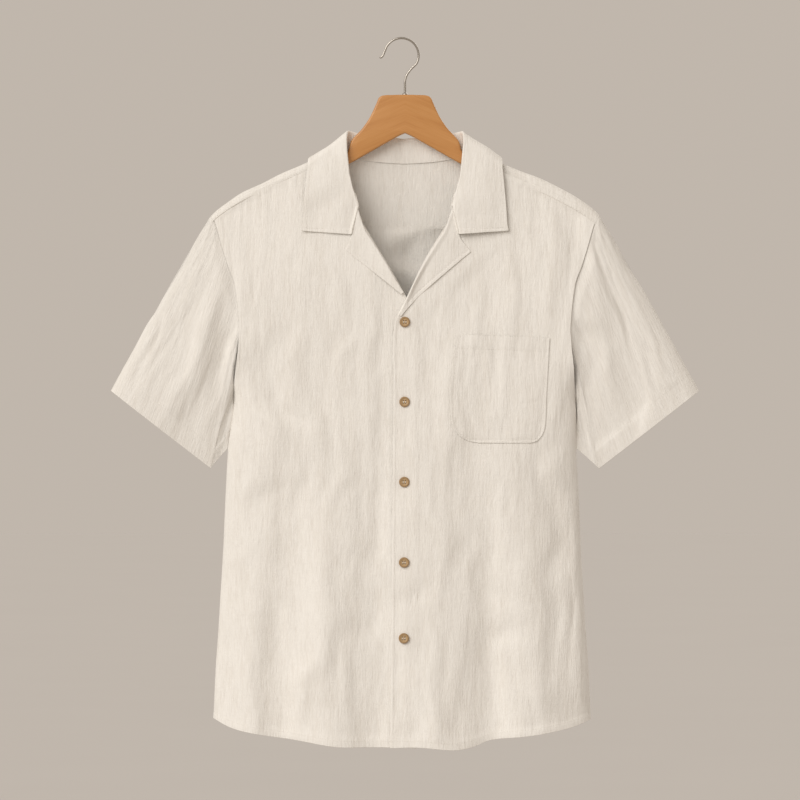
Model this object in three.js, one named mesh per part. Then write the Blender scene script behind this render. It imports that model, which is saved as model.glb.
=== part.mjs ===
// A short-sleeved camp shirt buttoned up on a flat wooden hanger.
// Millimetres, +Z up, the front faces -Y, the origin is where the rod carries the hook.

import * as THREE from 'three';

// Driving sizes
const WALL = 1.6;                 // cloth with its seam allowances
const SEAM_GAP = 0.3;             // between two pieces that are sewn together
const LAY_GAP = 0.5;              // between a piece and the panel that it lies on
const HANGER_THICK = 11;
const HANGER_CLEAR = 1.2;         // cloth to wood over the shoulders
const RIDGE_R = HANGER_THICK / 2 + HANGER_CLEAR + WALL;
const HALF_TURN = RIDGE_R * Math.PI / 2;   // cloth length from the shoulder ridge to its side
const ARMPIT_Z = -455;
const BACK_YOKE_Z = -237;
const HEM_SIDE_Z = -851;
const FOLD_TOP_Z = -380;          // the big folds start here and grow down to the hem
const NECK_X = 80;                // neck point on the shoulder ridge
const TIP_X = 243.5;              // shoulder tip
const TOP_EDGE_X = -13;           // edge of the front that lies on top
const UNDER_EDGE_X = 15;          // edge of the front below it
const UNDER_DROP = WALL + LAY_GAP;
const BUTTON_D = 13;
const BUTTON_THICK = 2.6;
const BUTTON_Z = [-355, -454.8, -554.8, -655, -749.4];
const HOOK_WIRE_R = 1.45;

const COLOURS = { cloth: 0xece4d7, button: 0xb99c6f, wood: 0xc78a4b, steel: 0xb9b6b0 };

// Shoulder silhouette, half width of the body, armhole and hem
const SHOULDER = [
  { x: 0, z: -100 }, { x: 80, z: -136 }, { x: 120, z: -153.5 }, { x: 151, z: -167 },
  { x: 184, z: -182.5 }, { x: 213, z: -198 }, { x: 234, z: -212.5 }, { x: 245, z: -223 },
];
const SIDE = [
  { z: -860, x: 236 }, { z: -702, x: 228.3 }, { z: -552, x: 220.5 }, { z: -514, x: 219 },
  { z: -455, x: 214.5 },
];
const ARMHOLE = [
  { z: -455, x: 214.5 }, { z: -440, x: 209 }, { z: -415, x: 204 }, { z: -370, x: 203.5 },
  { z: -307, x: 213 }, { z: -285, x: 221 }, { z: -260, x: 229 }, { z: -236, x: 237 },
  { z: -221, x: 243.5 },
];
const HEM = [
  { x: -240, z: -850 }, { x: -216, z: -862 }, { x: -180, z: -872 }, { x: -129, z: -880 },
  { x: -84, z: -888 }, { x: 16, z: -886 }, { x: 70, z: -889 }, { x: 117, z: -881 },
  { x: 170, z: -872 }, { x: 208, z: -862 }, { x: 236, z: -850 },
];
// Large folds: place at the hem, half width, how far each stands out there
const FRONT_FOLDS = [
  { x: -205, wide: 24, out: 4 }, { x: -157, wide: 24, out: -8 }, { x: -97, wide: 30, out: 7 },
  { x: -42, wide: 24, out: -6 }, { x: 38, wide: 34, out: 6 }, { x: 107, wide: 22, out: -10 },
  { x: 166, wide: 30, out: 8 },
];
const BACK_FOLDS = [
  { x: -168, wide: 30, out: 7 }, { x: -110, wide: 24, out: -9 }, { x: -46, wide: 32, out: 6 },
  { x: 14, wide: 24, out: -7 }, { x: 82, wide: 28, out: 8 }, { x: 146, wide: 24, out: -8 },
  { x: 200, wide: 22, out: 4 },
];

// Small helpers
const lerp = (a, b, t) => a + (b - a) * t;
const clamp01 = (t) => Math.min(1, Math.max(0, t));
const smooth = (t) => { const c = clamp01(t); return c * c * (3 - 2 * c); };
const vec = (x, y, z) => new THREE.Vector3(x, y, z);

// Smooth reading of a table: rows rise in column `from`, and `to` is interpolated
function read(table, from, to, at) {
  const rows = table[0][from] < table[table.length - 1][from] ? table : [...table].reverse();
  const last = rows.length - 1;
  if (at <= rows[0][from]) return rows[0][to];
  if (at >= rows[last][from]) return rows[last][to];
  const k = rows.findIndex((row) => row[from] > at) - 1;
  const slope = (i) => {
    const a = rows[Math.max(0, i - 1)], b = rows[Math.min(last, i + 1)];
    return (b[to] - a[to]) / (b[from] - a[from]);
  };
  const span = rows[k + 1][from] - rows[k][from];
  const t = (at - rows[k][from]) / span;
  const t2 = t * t, t3 = t2 * t;
  return (2 * t3 - 3 * t2 + 1) * rows[k][to] + (t3 - 2 * t2 + t) * span * slope(k)
    + (3 * t2 - 2 * t3) * rows[k + 1][to] + (t3 - t2) * span * slope(k + 1);
}

const shoulderZ = (x) => read(SHOULDER, 'x', 'z', Math.abs(x));
const armholeX = (z) => read(ARMHOLE, 'z', 'x', z);
const hemZ = (x) => read(HEM, 'x', 'z', x);
// The body hangs a little towards -X below the armpits
const sideX = (z, side) => side * read(SIDE, 'z', 'x', z) - 2.5 * smooth((ARMPIT_Z - z) / 80);

// Half depth of the body a given drop below the shoulder ridge
const OPEN_DEPTH = 14;            // how far the cloth stands off below the hanger
const OPEN_RUN = 120;             // over this drop
const SPREAD = 0.035;             // and how much more per millimetre further down
function depth(drop) {
  if (drop <= 0) return 0;
  if (drop < RIDGE_R) return Math.sqrt(RIDGE_R ** 2 - (RIDGE_R - drop) ** 2);
  const below = drop - RIDGE_R;
  return RIDGE_R + OPEN_DEPTH * (1 - Math.exp(-below / OPEN_RUN)) + SPREAD * below;
}

// The front and the back close towards the side seams below the armpits
function closing(x, z) {
  const open = smooth((z - ARMPIT_Z) / 70);
  const u = Math.min(1, Math.abs(x / Math.abs(sideX(Math.min(z, ARMPIT_Z), Math.sign(x) || 1))));
  return lerp(Math.sqrt(Math.max(0, 1 - u ** 3)), 1, open);
}

function folds(table, x, z) {
  const grown = smooth((FOLD_TOP_Z - z) / (FOLD_TOP_Z - HEM_SIDE_Z)) * (1 - Math.abs(x / 240) ** 6);
  return table.reduce((sum, f) => {
    const middle = f.x * lerp(0.86, 1, grown);
    return sum + f.out * grown * Math.exp(-(((x - middle) / f.wide) ** 2));
  }, 0);
}

function flatPoint(x, z, side) {
  const table = side < 0 ? FRONT_FOLDS : BACK_FOLDS;
  const half = depth(shoulderZ(x) - z);
  return vec(x, side * (half * closing(x, z) + folds(table, x, z)), z);
}

// A point of the body's cloth moved out by lift: side -1 is the front, +1 the back
function bodyPoint(x, z, side, lift = 0) {
  const p = flatPoint(x, z, side);
  if (lift === 0) return p;
  const step = 1.5;
  const alongX = flatPoint(x + step, z, side).sub(flatPoint(x - step, z, side));
  const alongZ = flatPoint(x, z + step, side).sub(flatPoint(x, z - step, side));
  const out = alongX.cross(alongZ).normalize();
  return p.addScaledVector(out, out.y * side > 0 ? lift : -lift);
}

// The way out of the cloth at a point of the body
function bodyOut(x, z, side) {
  return bodyPoint(x, z, side, 1).sub(flatPoint(x, z, side));
}

// A point near the shoulder ridge: run is the cloth length from the ridge, + to the front,
// and lift moves it out of the cloth
function ridgePoint(x, run, lift = 0) {
  const away = Math.abs(run);
  const angle = Math.min(away, HALF_TURN) / RIDGE_R;
  const drop = away < HALF_TURN ? RIDGE_R * (1 - Math.cos(angle)) : away - HALF_TURN + RIDGE_R;
  const half = away < HALF_TURN ? RIDGE_R * Math.sin(angle) : depth(drop);
  const face = run > 0 ? -1 : 1;
  return vec(x, face * (half + lift * Math.sin(angle)), shoulderZ(x) - drop + lift * Math.cos(angle));
}
// The way out of the cloth near the ridge
function ridgeOut(x, run) {
  const alongX = ridgePoint(x + 1, run).sub(ridgePoint(x - 1, run));
  const alongRun = ridgePoint(x, run + 1).sub(ridgePoint(x, run - 1));
  return alongRun.cross(alongX).normalize();
}
const runAt = (x, z) => Math.max(0, shoulderZ(x) - z - RIDGE_R) + HALF_TURN;

// A cloth wall from rows of points on one of its faces, one closed body. The wall lies behind
// the face, or before it where the computed way out points inwards and flip isn't set.
function clothWall(rows, { wall = WALL, closed = false, flip = false, outAt = null } = {}) {
  const nRow = rows.length, nCol = rows[0].length;
  const at = (j, i) => rows[Math.min(nRow - 1, Math.max(0, j))][
    closed ? (i + nCol) % nCol : Math.min(nCol - 1, Math.max(0, i))];
  const points = [];
  rows.forEach((row) => row.forEach((p) => points.push(p)));
  rows.forEach((row, j) => row.forEach((p, i) => {
    const alongRow = at(j, i + 1).clone().sub(at(j, i - 1));
    const alongCol = at(j + 1, i).clone().sub(at(j - 1, i));
    const out = alongRow.cross(alongCol).normalize().multiplyScalar(flip ? -1 : 1);
    points.push(p.clone().addScaledVector((outAt && outAt(j, i)) || out, -wall));
  }));
  const outer = (j, i) => j * nCol + (closed ? i % nCol : i);
  const inner = (j, i) => nRow * nCol + outer(j, i);
  const index = [];
  const quad = (a, b, c, d) => (flip ? index.push(a, c, b, a, d, c) : index.push(a, b, c, a, c, d));
  const spans = closed ? nCol : nCol - 1;
  for (let j = 0; j < nRow - 1; j++) {
    for (let i = 0; i < spans; i++) {
      quad(outer(j, i), outer(j, i + 1), outer(j + 1, i + 1), outer(j + 1, i));
      quad(inner(j, i), inner(j + 1, i), inner(j + 1, i + 1), inner(j, i + 1));
    }
    if (!closed) {
      quad(outer(j, 0), outer(j + 1, 0), inner(j + 1, 0), inner(j, 0));
      quad(outer(j, spans), inner(j, spans), inner(j + 1, spans), outer(j + 1, spans));
    }
  }
  const top = nRow - 1;
  for (let i = 0; i < spans; i++) {
    quad(outer(0, i), inner(0, i), inner(0, i + 1), outer(0, i + 1));
    quad(outer(top, i), outer(top, i + 1), inner(top, i + 1), inner(top, i));
  }
  const geometry = new THREE.BufferGeometry();
  const places = points.flatMap((p) => [p.x, p.y, p.z]);
  geometry.setAttribute('position', new THREE.Float32BufferAttribute(places, 3));
  geometry.setIndex(index);
  geometry.computeVertexNormals();
  return geometry;
}

const shirt = new THREE.Group();
const finishes = {
  cloth: { color: COLOURS.cloth, roughness: 0.95, metalness: 0 },
  button: { color: COLOURS.button, roughness: 0.5, metalness: 0 },
  wood: { color: COLOURS.wood, roughness: 0.45, metalness: 0 },
  steel: { color: COLOURS.steel, roughness: 0.3, metalness: 1 },
};
function add(name, geometry, finish) {
  const mesh = new THREE.Mesh(geometry, new THREE.MeshStandardMaterial(finishes[finish]));
  mesh.name = name;
  shirt.add(mesh);
  return mesh;
}

// Front panels. Their inner edge runs up the placket, then the roll line, then the neck seam.
const TOP_FRONT = {
  side: 1, drop: 0, seamBelow: 16,
  inner: [
    { v: 0, x: TOP_EDGE_X - 5, z: -886 }, { v: 0.55, x: TOP_EDGE_X - 1, z: -430 },
    { v: 0.65, x: TOP_EDGE_X, z: -358 }, { v: 0.7, x: 2.5, z: -324 }, { v: 0.78, x: 25, z: -277 },
    { v: 0.87, x: 59, z: -221 }, { v: 0.93, x: 76, z: -184 }, { v: 1, x: 83, z: -153 },
  ],
};
const UNDER_FRONT = {
  side: -1, drop: UNDER_DROP, seamBelow: 10,
  inner: [
    { v: 0, x: UNDER_EDGE_X, z: -886 }, { v: 0.55, x: UNDER_EDGE_X, z: -430 },
    { v: 0.65, x: UNDER_EDGE_X, z: -352 }, { v: 0.7, x: 0.5, z: -322 }, { v: 0.78, x: -25, z: -277 },
    { v: 0.87, x: -59, z: -221 }, { v: 0.93, x: -76, z: -184 }, { v: 1, x: -83, z: -147 },
  ],
};
const ARMPIT_V = 0.55;
const FRONT_ROWS = [0, 0.07, 0.14, 0.21, 0.28, 0.35, 0.42, 0.49, 0.55, 0.6, 0.65, 0.7, 0.74, 0.78, 0.825,
  0.87, 0.9, 0.93, 0.965, 0.985, 1];
const FRONT_COLUMNS = 26;
const GATHER_DEPTH = 0.9;

// How a panel is gathered into the yoke seam: every second column stands out
function gather(i, v, at, from, to) {
  const near = smooth((v - 0.86) / 0.1) * (1 - smooth((v - 0.97) / 0.03));
  const inside = smooth((at - from) / 12) * (1 - smooth((at - to) / 12));
  return GATHER_DEPTH * (i % 2 ? 1 : -1) * near * inside * (0.7 + 0.3 * Math.sin(i * 2.3));
}

// Where a front's yoke seam meets the armhole
function seamEndZ(front) {
  let z = -233;
  for (let pass = 0; pass < 6; pass++) z = shoulderZ(armholeX(z)) - front.seamBelow - SEAM_GAP;
  return z;
}

// The outer edge of a front: the side seam up to the armpit, then the armhole
function outerEdge(v, front) {
  if (v <= ARMPIT_V) {
    const z = lerp(HEM_SIDE_Z, ARMPIT_Z, v / ARMPIT_V);
    return { x: sideX(z, front.side), z };
  }
  const z = lerp(ARMPIT_Z, seamEndZ(front), (v - ARMPIT_V) / (1 - ARMPIT_V));
  return { x: front.side * armholeX(z), z };
}

function frontPanel(front) {
  const topInner = front.inner[front.inner.length - 1];
  const topOuter = outerEdge(1, front);
  const rows = FRONT_ROWS.map((v) => {
    const inner = { x: read(front.inner, 'v', 'x', v), z: read(front.inner, 'v', 'z', v) };
    const outer = outerEdge(v, front);
    const hemPart = (1 - clamp01(v / ARMPIT_V)) ** 2;
    const seamPart = smooth((v - 0.8) / 0.2);
    const row = [];
    for (let i = 0; i <= FRONT_COLUMNS; i++) {
      const s = 1 - (1 - i / FRONT_COLUMNS) ** 1.4;
      const x = lerp(inner.x, outer.x, s);
      const straight = lerp(inner.z, outer.z, s);
      const ends = v < 0.5 ? lerp(hemZ(inner.x), HEM_SIDE_Z, s) : 0;
      const hem = hemPart * (hemZ(x) - ends);
      const seamLine = shoulderZ(lerp(topInner.x, topOuter.x, s)) - front.seamBelow - SEAM_GAP;
      const toSeam = seamPart * (seamLine - lerp(topInner.z, topOuter.z, s));
      const z = straight + (v < 0.5 ? hem : 0) + toSeam;
      const under = front.drop * smooth((x + 48) / 26);
      row.push(bodyPoint(x, z, -1, gather(i, v, Math.abs(x), 128, 226) - under));
    }
    row[FRONT_COLUMNS] = bodyPoint(outer.x, outer.z, -1);
    if (v <= ARMPIT_V) row[FRONT_COLUMNS].y = -SEAM_GAP / 2;
    return row;
  });
  const outAt = (j, i) => {
    if (i === FRONT_COLUMNS && FRONT_ROWS[j] <= ARMPIT_V) return vec(front.side, 0, 0);
    const onEdge = i === FRONT_COLUMNS || j === FRONT_ROWS.length - 1;
    return onEdge ? bodyOut(rows[j][i].x, rows[j][i].z, -1) : null;
  };
  return clothWall(rows, { flip: front.side < 0, outAt });
}
add('front_right', frontPanel(TOP_FRONT), 'cloth');
add('front_left', frontPanel(UNDER_FRONT), 'cloth');

// Back panel, from side seam to side seam and up to the yoke
const BACK_ROWS = [0, 0.07, 0.14, 0.21, 0.28, 0.35, 0.42, 0.49, 0.55, 0.61, 0.68, 0.76, 0.84, 0.92, 0.96, 1];
const BACK_COLUMNS = 36;
function backZ(v) {
  if (v <= ARMPIT_V) return lerp(HEM_SIDE_Z, ARMPIT_Z, v / ARMPIT_V);
  return lerp(ARMPIT_Z, BACK_YOKE_Z - SEAM_GAP, (v - ARMPIT_V) / (1 - ARMPIT_V));
}
function backPanel() {
  const rows = BACK_ROWS.map((v) => {
    const z0 = backZ(v);
    const row = [];
    for (let i = 0; i <= BACK_COLUMNS; i++) {
      const t = 2 * i / BACK_COLUMNS - 1;
      const s = Math.sign(t) * (1 - (1 - Math.abs(t)) ** 1.4);
      const edge = Math.abs(v <= ARMPIT_V ? sideX(z0, Math.sign(t) || 1) : armholeX(z0));
      const x = s * edge;
      const z = z0 + (1 - clamp01(v / ARMPIT_V)) ** 2 * (hemZ(x) - HEM_SIDE_Z);
      const p = bodyPoint(x, z, 1, gather(i, v, x, -70, 70));
      if ((i === 0 || i === BACK_COLUMNS) && v <= ARMPIT_V) p.y = SEAM_GAP / 2;
      row.push(p);
    }
    return row;
  });
  const outAt = (j, i) => {
    const onSide = i === 0 || i === BACK_COLUMNS;
    if (onSide && BACK_ROWS[j] <= ARMPIT_V) return vec(i === 0 ? -1 : 1, 0, 0);
    return onSide || j === BACK_ROWS.length - 1 ? bodyOut(rows[j][i].x, rows[j][i].z, 1) : null;
  };
  return clothWall(rows, { flip: true, outAt });
}
add('back', backPanel(), 'cloth');

// Yoke, one piece over both shoulders, with the back of the neck cut out of it
const NECK_FRONT_X = 83;          // where the neck seam leaves the yoke in front
const NECK_SEAM = [
  { x: 0, run: -61 }, { x: 45, run: -41 }, { x: 66, run: -23.5 }, { x: 76, run: -11.5 },
  { x: NECK_X, run: 0 }, { x: 81.5, run: 8 }, { x: NECK_FRONT_X, run: 18 },
];
const YOKE_X = [0, 20, 40, 56, 68, 76, NECK_X, 80.75, 81.5, 82.25, NECK_FRONT_X, 98, 118, 142, 166,
  190, 210, 226, 237, TIP_X];
function yokeRuns(x, side) {
  const back = -runAt(x, BACK_YOKE_Z);
  const frontBelow = side > 0 ? TOP_FRONT.seamBelow : UNDER_FRONT.seamBelow;
  const front = runAt(x, shoulderZ(x) - frontBelow);
  const shoulder = [back, lerp(back, -18, 0.5), -18, -HALF_TURN, -8.4, -4.2, 0, 4.2, 8.4, HALF_TURN, front];
  if (x >= NECK_FRONT_X) return shoulder;
  const neck = read(NECK_SEAM, 'x', 'run', x);
  return shoulder.map((run) => back + (run - back) * (neck - back) / (front - back));
}
const YOKE_ROWS = 11;
function yokePoint(x, side, j) {
  let toArmhole = 0;
  for (let pass = 0; pass < 6; pass++) {
    const z = ridgePoint(x + toArmhole, yokeRuns(x + toArmhole, side)[j]).z;
    toArmhole = (armholeX(Math.min(z, -221)) - TIP_X) * smooth((x - 130) / (TIP_X - 130));
  }
  const p = ridgePoint(x + toArmhole, yokeRuns(x + toArmhole, side)[j]);
  p.x *= side;
  return p;
}
// The way out of the yoke at its armhole end
function yokeEndOut(side, j) {
  const x = Math.abs(yokePoint(TIP_X, side, j).x);
  return ridgeOut(x, yokeRuns(x, side)[j]).multiply(vec(side, 1, 1));
}
function yoke() {
  const columns = [...YOKE_X.slice(1).reverse().map((x) => ({ x, side: -1 })),
    ...YOKE_X.map((x) => ({ x, side: 1 }))];
  const rows = [];
  for (let j = 0; j < YOKE_ROWS; j++) rows.push(columns.map(({ x, side }) => yokePoint(x, side, j)));
  const outAt = (j, i) => {
    const p = rows[j][i];
    if (j === 0) return bodyOut(p.x, p.z, 1);
    if (i === 0 || i === columns.length - 1) return yokeEndOut(Math.sign(p.x), j);
    if (j === YOKE_ROWS - 1 && Math.abs(p.x) > NECK_FRONT_X) return bodyOut(p.x, p.z, -1);
    const { x, side } = columns[i];
    return ridgeOut(Math.abs(p.x), yokeRuns(x, side)[j]).multiply(vec(side, 1, 1));
  };
  return clothWall(rows, { flip: true, outAt });
}
add('yoke', yoke(), 'cloth');

// Sleeves: a tube from the armhole to the cuff, laid flat with its lower edge folded forward
const CUFF = { outer: { x: 368, z: -441 }, lower: { x: 243, z: -538 }, inner: { x: 225, z: -514 }, half: 19 };
const CUFF_LOWER_AT = 0.8;        // share of the front half ring that ends at the lower corner
const SLEEVE_ROWS = 10;
const SLEEVE_RIDGE = { x: 250, wide: 14, out: 8, topZ: -240, run: 110 };
const SLEEVE_TROUGH = { x: 227, wide: 8, out: -6, topZ: -330, run: 90 };
const YOKE_RIDGE_ROW = 6;         // row of the yoke that lies on the shoulder ridge

// The armhole ring: down the front from the shoulder tip, round the armpit, up the back
function armholeRing(side) {
  const front = side > 0 ? TOP_FRONT : UNDER_FRONT;
  const ring = [];
  const addYoke = (j) => ring.push({ p: yokePoint(TIP_X, side, j), out: yokeEndOut(side, j) });
  const addPanel = (x, z, face) => ring.push({ p: bodyPoint(x, z, face), out: bodyOut(x, z, face) });
  for (let j = YOKE_RIDGE_ROW; j < YOKE_ROWS - 1; j++) addYoke(j);
  FRONT_ROWS.filter((v) => v > ARMPIT_V).reverse().forEach((v) => {
    const edge = outerEdge(v, front);
    addPanel(edge.x, edge.z, -1);
  });
  const frontCount = ring.length;
  ring.push({ p: vec(side * armholeX(ARMPIT_Z), 0, ARMPIT_Z), out: vec(-0.3 * side, 0, -1).normalize() });
  BACK_ROWS.filter((v) => v > ARMPIT_V).forEach((v) => {
    addPanel(side * armholeX(backZ(v)), backZ(v), 1);
  });
  for (let j = 2; j < YOKE_RIDGE_ROW; j++) addYoke(j);
  return { ring, frontCount };
}
// The cuff ring: front from the outer corner to the lower one, short inner edge, back
function cuffFront(f) {
  const { outer, lower, inner, half } = CUFF;
  if (f <= CUFF_LOWER_AT) {
    const g = f / CUFF_LOWER_AT;
    const y = -half * Math.sqrt(1 - (1 - g) ** 4) * (1 - 0.3 * g ** 4);
    return vec(lerp(outer.x, lower.x, g), y, lerp(outer.z, lower.z, g));
  }
  const g = (f - CUFF_LOWER_AT) / (1 - CUFF_LOWER_AT);
  return vec(lerp(lower.x, inner.x, g), lerp(-0.7 * half, 0, g), lerp(lower.z, inner.z, g));
}
function cuffBack(f) {
  const { outer, inner, half } = CUFF;
  return vec(lerp(inner.x, outer.x, f), half * Math.sqrt(1 - Math.abs(2 * f - 1) ** 3),
    lerp(inner.z, outer.z, f));
}
function sleeveFold(fold, p) {
  return fold.out * Math.exp(-(((p.x - fold.x) / fold.wide) ** 2)) * smooth((fold.topZ - p.z) / fold.run);
}
// How near to the body the underside of a sleeve comes
function underarmX(z, side) {
  return Math.abs(sideX(Math.min(z, ARMPIT_Z), side)) + 2.8 - 0.15 * Math.max(0, z - ARMPIT_Z - 6);
}
function sleeve(side) {
  const { ring, frontCount } = armholeRing(side);
  const backCount = ring.length - frontCount;
  const rows = [];
  for (let j = 0; j < SLEEVE_ROWS; j++) {
    const t = j / (SLEEVE_ROWS - 1);
    rows.push(ring.map(({ p: start }, i) => {
      const cuff = i <= frontCount ? cuffFront(i / frontCount) : cuffBack((i - frontCount) / backCount);
      const p = vec(Math.abs(start.x), start.y, start.z).lerp(cuff, t);
      const bow = 5 * Math.sin(Math.PI * t) * Math.max(0, 1 - Math.min(i, ring.length - i) / 4);
      p.x += SEAM_GAP + 0.35 + bow * 0.85;
      p.z += bow * 0.5;
      if (j > 0) p.x = Math.max(p.x, underarmX(p.z, side));
      if (i > 1 && i < frontCount - 1) {
        p.y -= (sleeveFold(SLEEVE_RIDGE, p) + sleeveFold(SLEEVE_TROUGH, p)) * smooth(t * 4);
      }
      p.x *= side;
      return p;
    }));
  }
  const outAt = (j, i) => (j === 0 ? ring[i].out : null);
  return clothWall(rows, { closed: true, flip: side < 0, outAt });
}
add('sleeve_right', sleeve(1), 'cloth');
add('sleeve_left', sleeve(-1), 'cloth');

// Collar: the neck seam, the top of the fold and the leaf's edge, from the middle of the
// back (first row) to the notch in front (last row). Runs are cloth lengths from the ridge,
// and rise is how far the leaf stands off the shoulder next to its fold.
const COLLAR = [
  { neckX: 0, neckRun: -61, foldX: 0, foldY: 11, foldZ: -125, rise: 3.2, edgeX: 0, edgeRun: -84 },
  { neckX: 30, neckRun: -49, foldX: 30, foldY: 10.8, foldZ: -123, rise: 3.4, edgeX: 36, edgeRun: -68 },
  { neckX: 57.5, neckRun: -30.5, foldX: 55, foldY: 10, foldZ: -119.5, rise: 4.5, edgeX: 72, edgeRun: -49 },
  { neckX: 71.8, neckRun: -13.5, foldX: 68, foldY: 7, foldZ: -116.5, rise: 8, edgeX: 99, edgeRun: -30 },
  { neckX: 77.3, neckRun: 0, foldX: 72, foldY: 0.5, foldZ: -116, rise: 12.5, edgeX: 115, edgeRun: -10 },
  { neckX: 78.6, neckRun: 14, foldX: 74, foldY: -7.5, foldZ: -122, rise: 9, edgeX: 120.5, edgeRun: 7 },
  { neckX: 76.6, neckRun: 34, foldX: 73.5, foldY: -13.5, foldZ: -141, rise: 5, edgeX: 123, edgeRun: 28 },
  { neckX: 70, neckRun: 60, foldX: 70.5, foldY: -17, foldZ: -170, rise: 3.6, edgeX: 125, edgeRun: 49 },
  { neckX: 62, neckRun: 78, foldX: 64.5, foldY: -20.5, foldZ: -199, rise: 3, edgeX: 126.5, edgeRun: 67 },
  { neckX: 57.2, neckRun: 96, foldX: 59.5, foldY: -22, foldZ: -218, rise: 2.6, edgeX: 127.3, edgeRun: 79.5 },
  { neckX: 66.5, neckRun: 118.5, foldX: 69, foldY: -23, foldZ: -245, rise: 1.2, edgeX: 129, edgeRun: 88 },
];
// How far the neck edge is let in under the yoke: 1 behind and on the shoulder, 0 in front
const COLLAR_SUNK = [{ at: 6, sunk: 1 }, { at: 7, sunk: 0.6 }, { at: 8, sunk: 0 }];
// Sections of each half, in rows of the table, closer where the leaf turns over the ridge
const COLLAR_AT = [0, 0.8, 1.6, 2.3, 2.8, 3.2, 3.5, 3.75, 4, 4.25, 4.5, 4.75, 5, 5.35, 5.9, 6.7,
  7.6, 8.4, 9.1, 10];
// Places from the neck seam (0) over the fold (0.4) to the leaf's edge (1). The wall lies on
// the outer side of the fold.
const COLLAR_ACROSS = [0, 0.2, 0.32, 0.38, 0.43, 0.48, 0.54, 0.62, 0.8, 1];
const LEAF_LIFT = LAY_GAP + WALL + 0.4;

function collarSection(at, side) {
  const table = COLLAR.map((row, i) => ({ ...row, at: i }));
  const get = (column) => read(table, 'at', column, at);
  const sunk = read(COLLAR_SUNK, 'at', 'sunk', at);
  const foldY = get('foldY');
  const foldRun = Math.abs(foldY) < RIDGE_R ? -RIDGE_R * Math.asin(foldY / RIDGE_R)
    : -Math.sign(foldY) * runAt(get('foldX'), get('foldZ'));
  const overFall = (t, lift) => ridgePoint(
    lerp(get('foldX'), get('edgeX'), t), lerp(foldRun, get('edgeRun'), t), lift);
  const neck = ridgePoint(get('neckX'), get('neckRun'), lerp(LEAF_LIFT, -WALL - SEAM_GAP, sunk));
  const fold = vec(get('foldX'), foldY, get('foldZ'));
  neck.lerp(fold, 0.05);
  const stand = neck.clone().lerp(fold, 0.6);
  const rise = get('rise');
  const keys = [neck, stand, fold, overFall(0.12, LEAF_LIFT + 0.8 * rise),
    overFall(0.5, LEAF_LIFT + 0.35 * rise), overFall(1, LEAF_LIFT)];
  const curve = new THREE.CatmullRomCurve3(keys);
  return COLLAR_ACROSS.map((t) => curve.getPoint(t).multiply(vec(side, 1, 1)));
}
function collar() {
  const left = COLLAR_AT.slice(1).reverse().map((at) => collarSection(at, -1));
  return clothWall([...left, ...COLLAR_AT.map((at) => collarSection(at, 1))], {});
}
add('collar', collar(), 'cloth');

// Lapels: the roll line and the outer edge, from the tip to the lower end. The first row
// bends at the notch, where the gorge seam ends.
const LAPEL_LIFT = LAY_GAP + WALL + 0.2;
const TOP_LAPEL = {
  side: 1,
  notch: { x: 68.5, z: -249.5 },
  rows: [
    { rollX: 58.5, rollZ: -225.5, outX: 82, outZ: -267 },
    { rollX: 50, rollZ: -238, outX: 74.5, outZ: -273.2 },
    { rollX: 40, rollZ: -254, outX: 65, outZ: -281 },
    { rollX: 25, rollZ: -278, outX: 41.5, outZ: -301 },
    { rollX: 12, rollZ: -303, outX: 19, outZ: -321 },
    { rollX: 2.5, rollZ: -324, outX: 6.5, outZ: -334 },
    { rollX: -3, rollZ: -336, outX: 0.5, outZ: -341 },
    { rollX: -8, rollZ: -345, outX: -5, outZ: -348 },
  ],
};
const UNDER_LAPEL = {
  side: -1,
  notch: { x: 66.8, z: -249.5 },
  rows: [
    { rollX: 58.5, rollZ: -225.5, outX: 73.5, outZ: -265 },
    { rollX: 50, rollZ: -238, outX: 66, outZ: -271.5 },
    { rollX: 40, rollZ: -254, outX: 57, outZ: -278.5 },
    { rollX: 25, rollZ: -278, outX: 37, outZ: -294 },
    { rollX: 10, rollZ: -304, outX: 15, outZ: -311.5 },
    { rollX: 1.5, rollZ: -318, outX: 4.5, outZ: -320 },
  ],
};
const NOTCH_AT = 0.5;
const FULL_ROLL_WIDTH = 16;       // a lapel at least this wide rolls over at its full height
const LAPEL_ACROSS = [
  { t: 0, roll: -LAPEL_LIFT + 1.7 }, { t: 0.12, roll: 1.9 }, { t: 0.45, roll: 1.1 },
  { t: 0.75, roll: 0.3 }, { t: 1, roll: 0 },
];
function lapel({ side, notch, rows }) {
  const table = rows.map((row, i) => ({ ...row, at: i }));
  const first = rows[0];
  const stations = [];
  for (let at = 0; at < rows.length - 1; at += 0.5) stations.push(at);
  stations.push(rows.length - 1);
  return clothWall(stations.map((at) => {
    const get = (column) => read(table, 'at', column, at);
    const width = Math.hypot(get('outX') - get('rollX'), get('outZ') - get('rollZ'));
    const full = Math.min(1, width / FULL_ROLL_WIDTH) ** 2;
    return LAPEL_ACROSS.map(({ t, roll }) => {
      const bend = Math.max(0, 1 - at) * (1 - Math.abs(t / NOTCH_AT - 1));
      const x = lerp(get('rollX'), get('outX'), t) + bend * (notch.x - (first.rollX + first.outX) / 2);
      const z = lerp(get('rollZ'), get('outZ'), t) + bend * (notch.z - (first.rollZ + first.outZ) / 2);
      return bodyPoint(side * x, z, -1, LAPEL_LIFT + roll * full);
    });
  }), { flip: side > 0 });
}
add('lapel_right', lapel(TOP_LAPEL), 'cloth');
add('lapel_left', lapel(UNDER_LAPEL), 'cloth');

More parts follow.
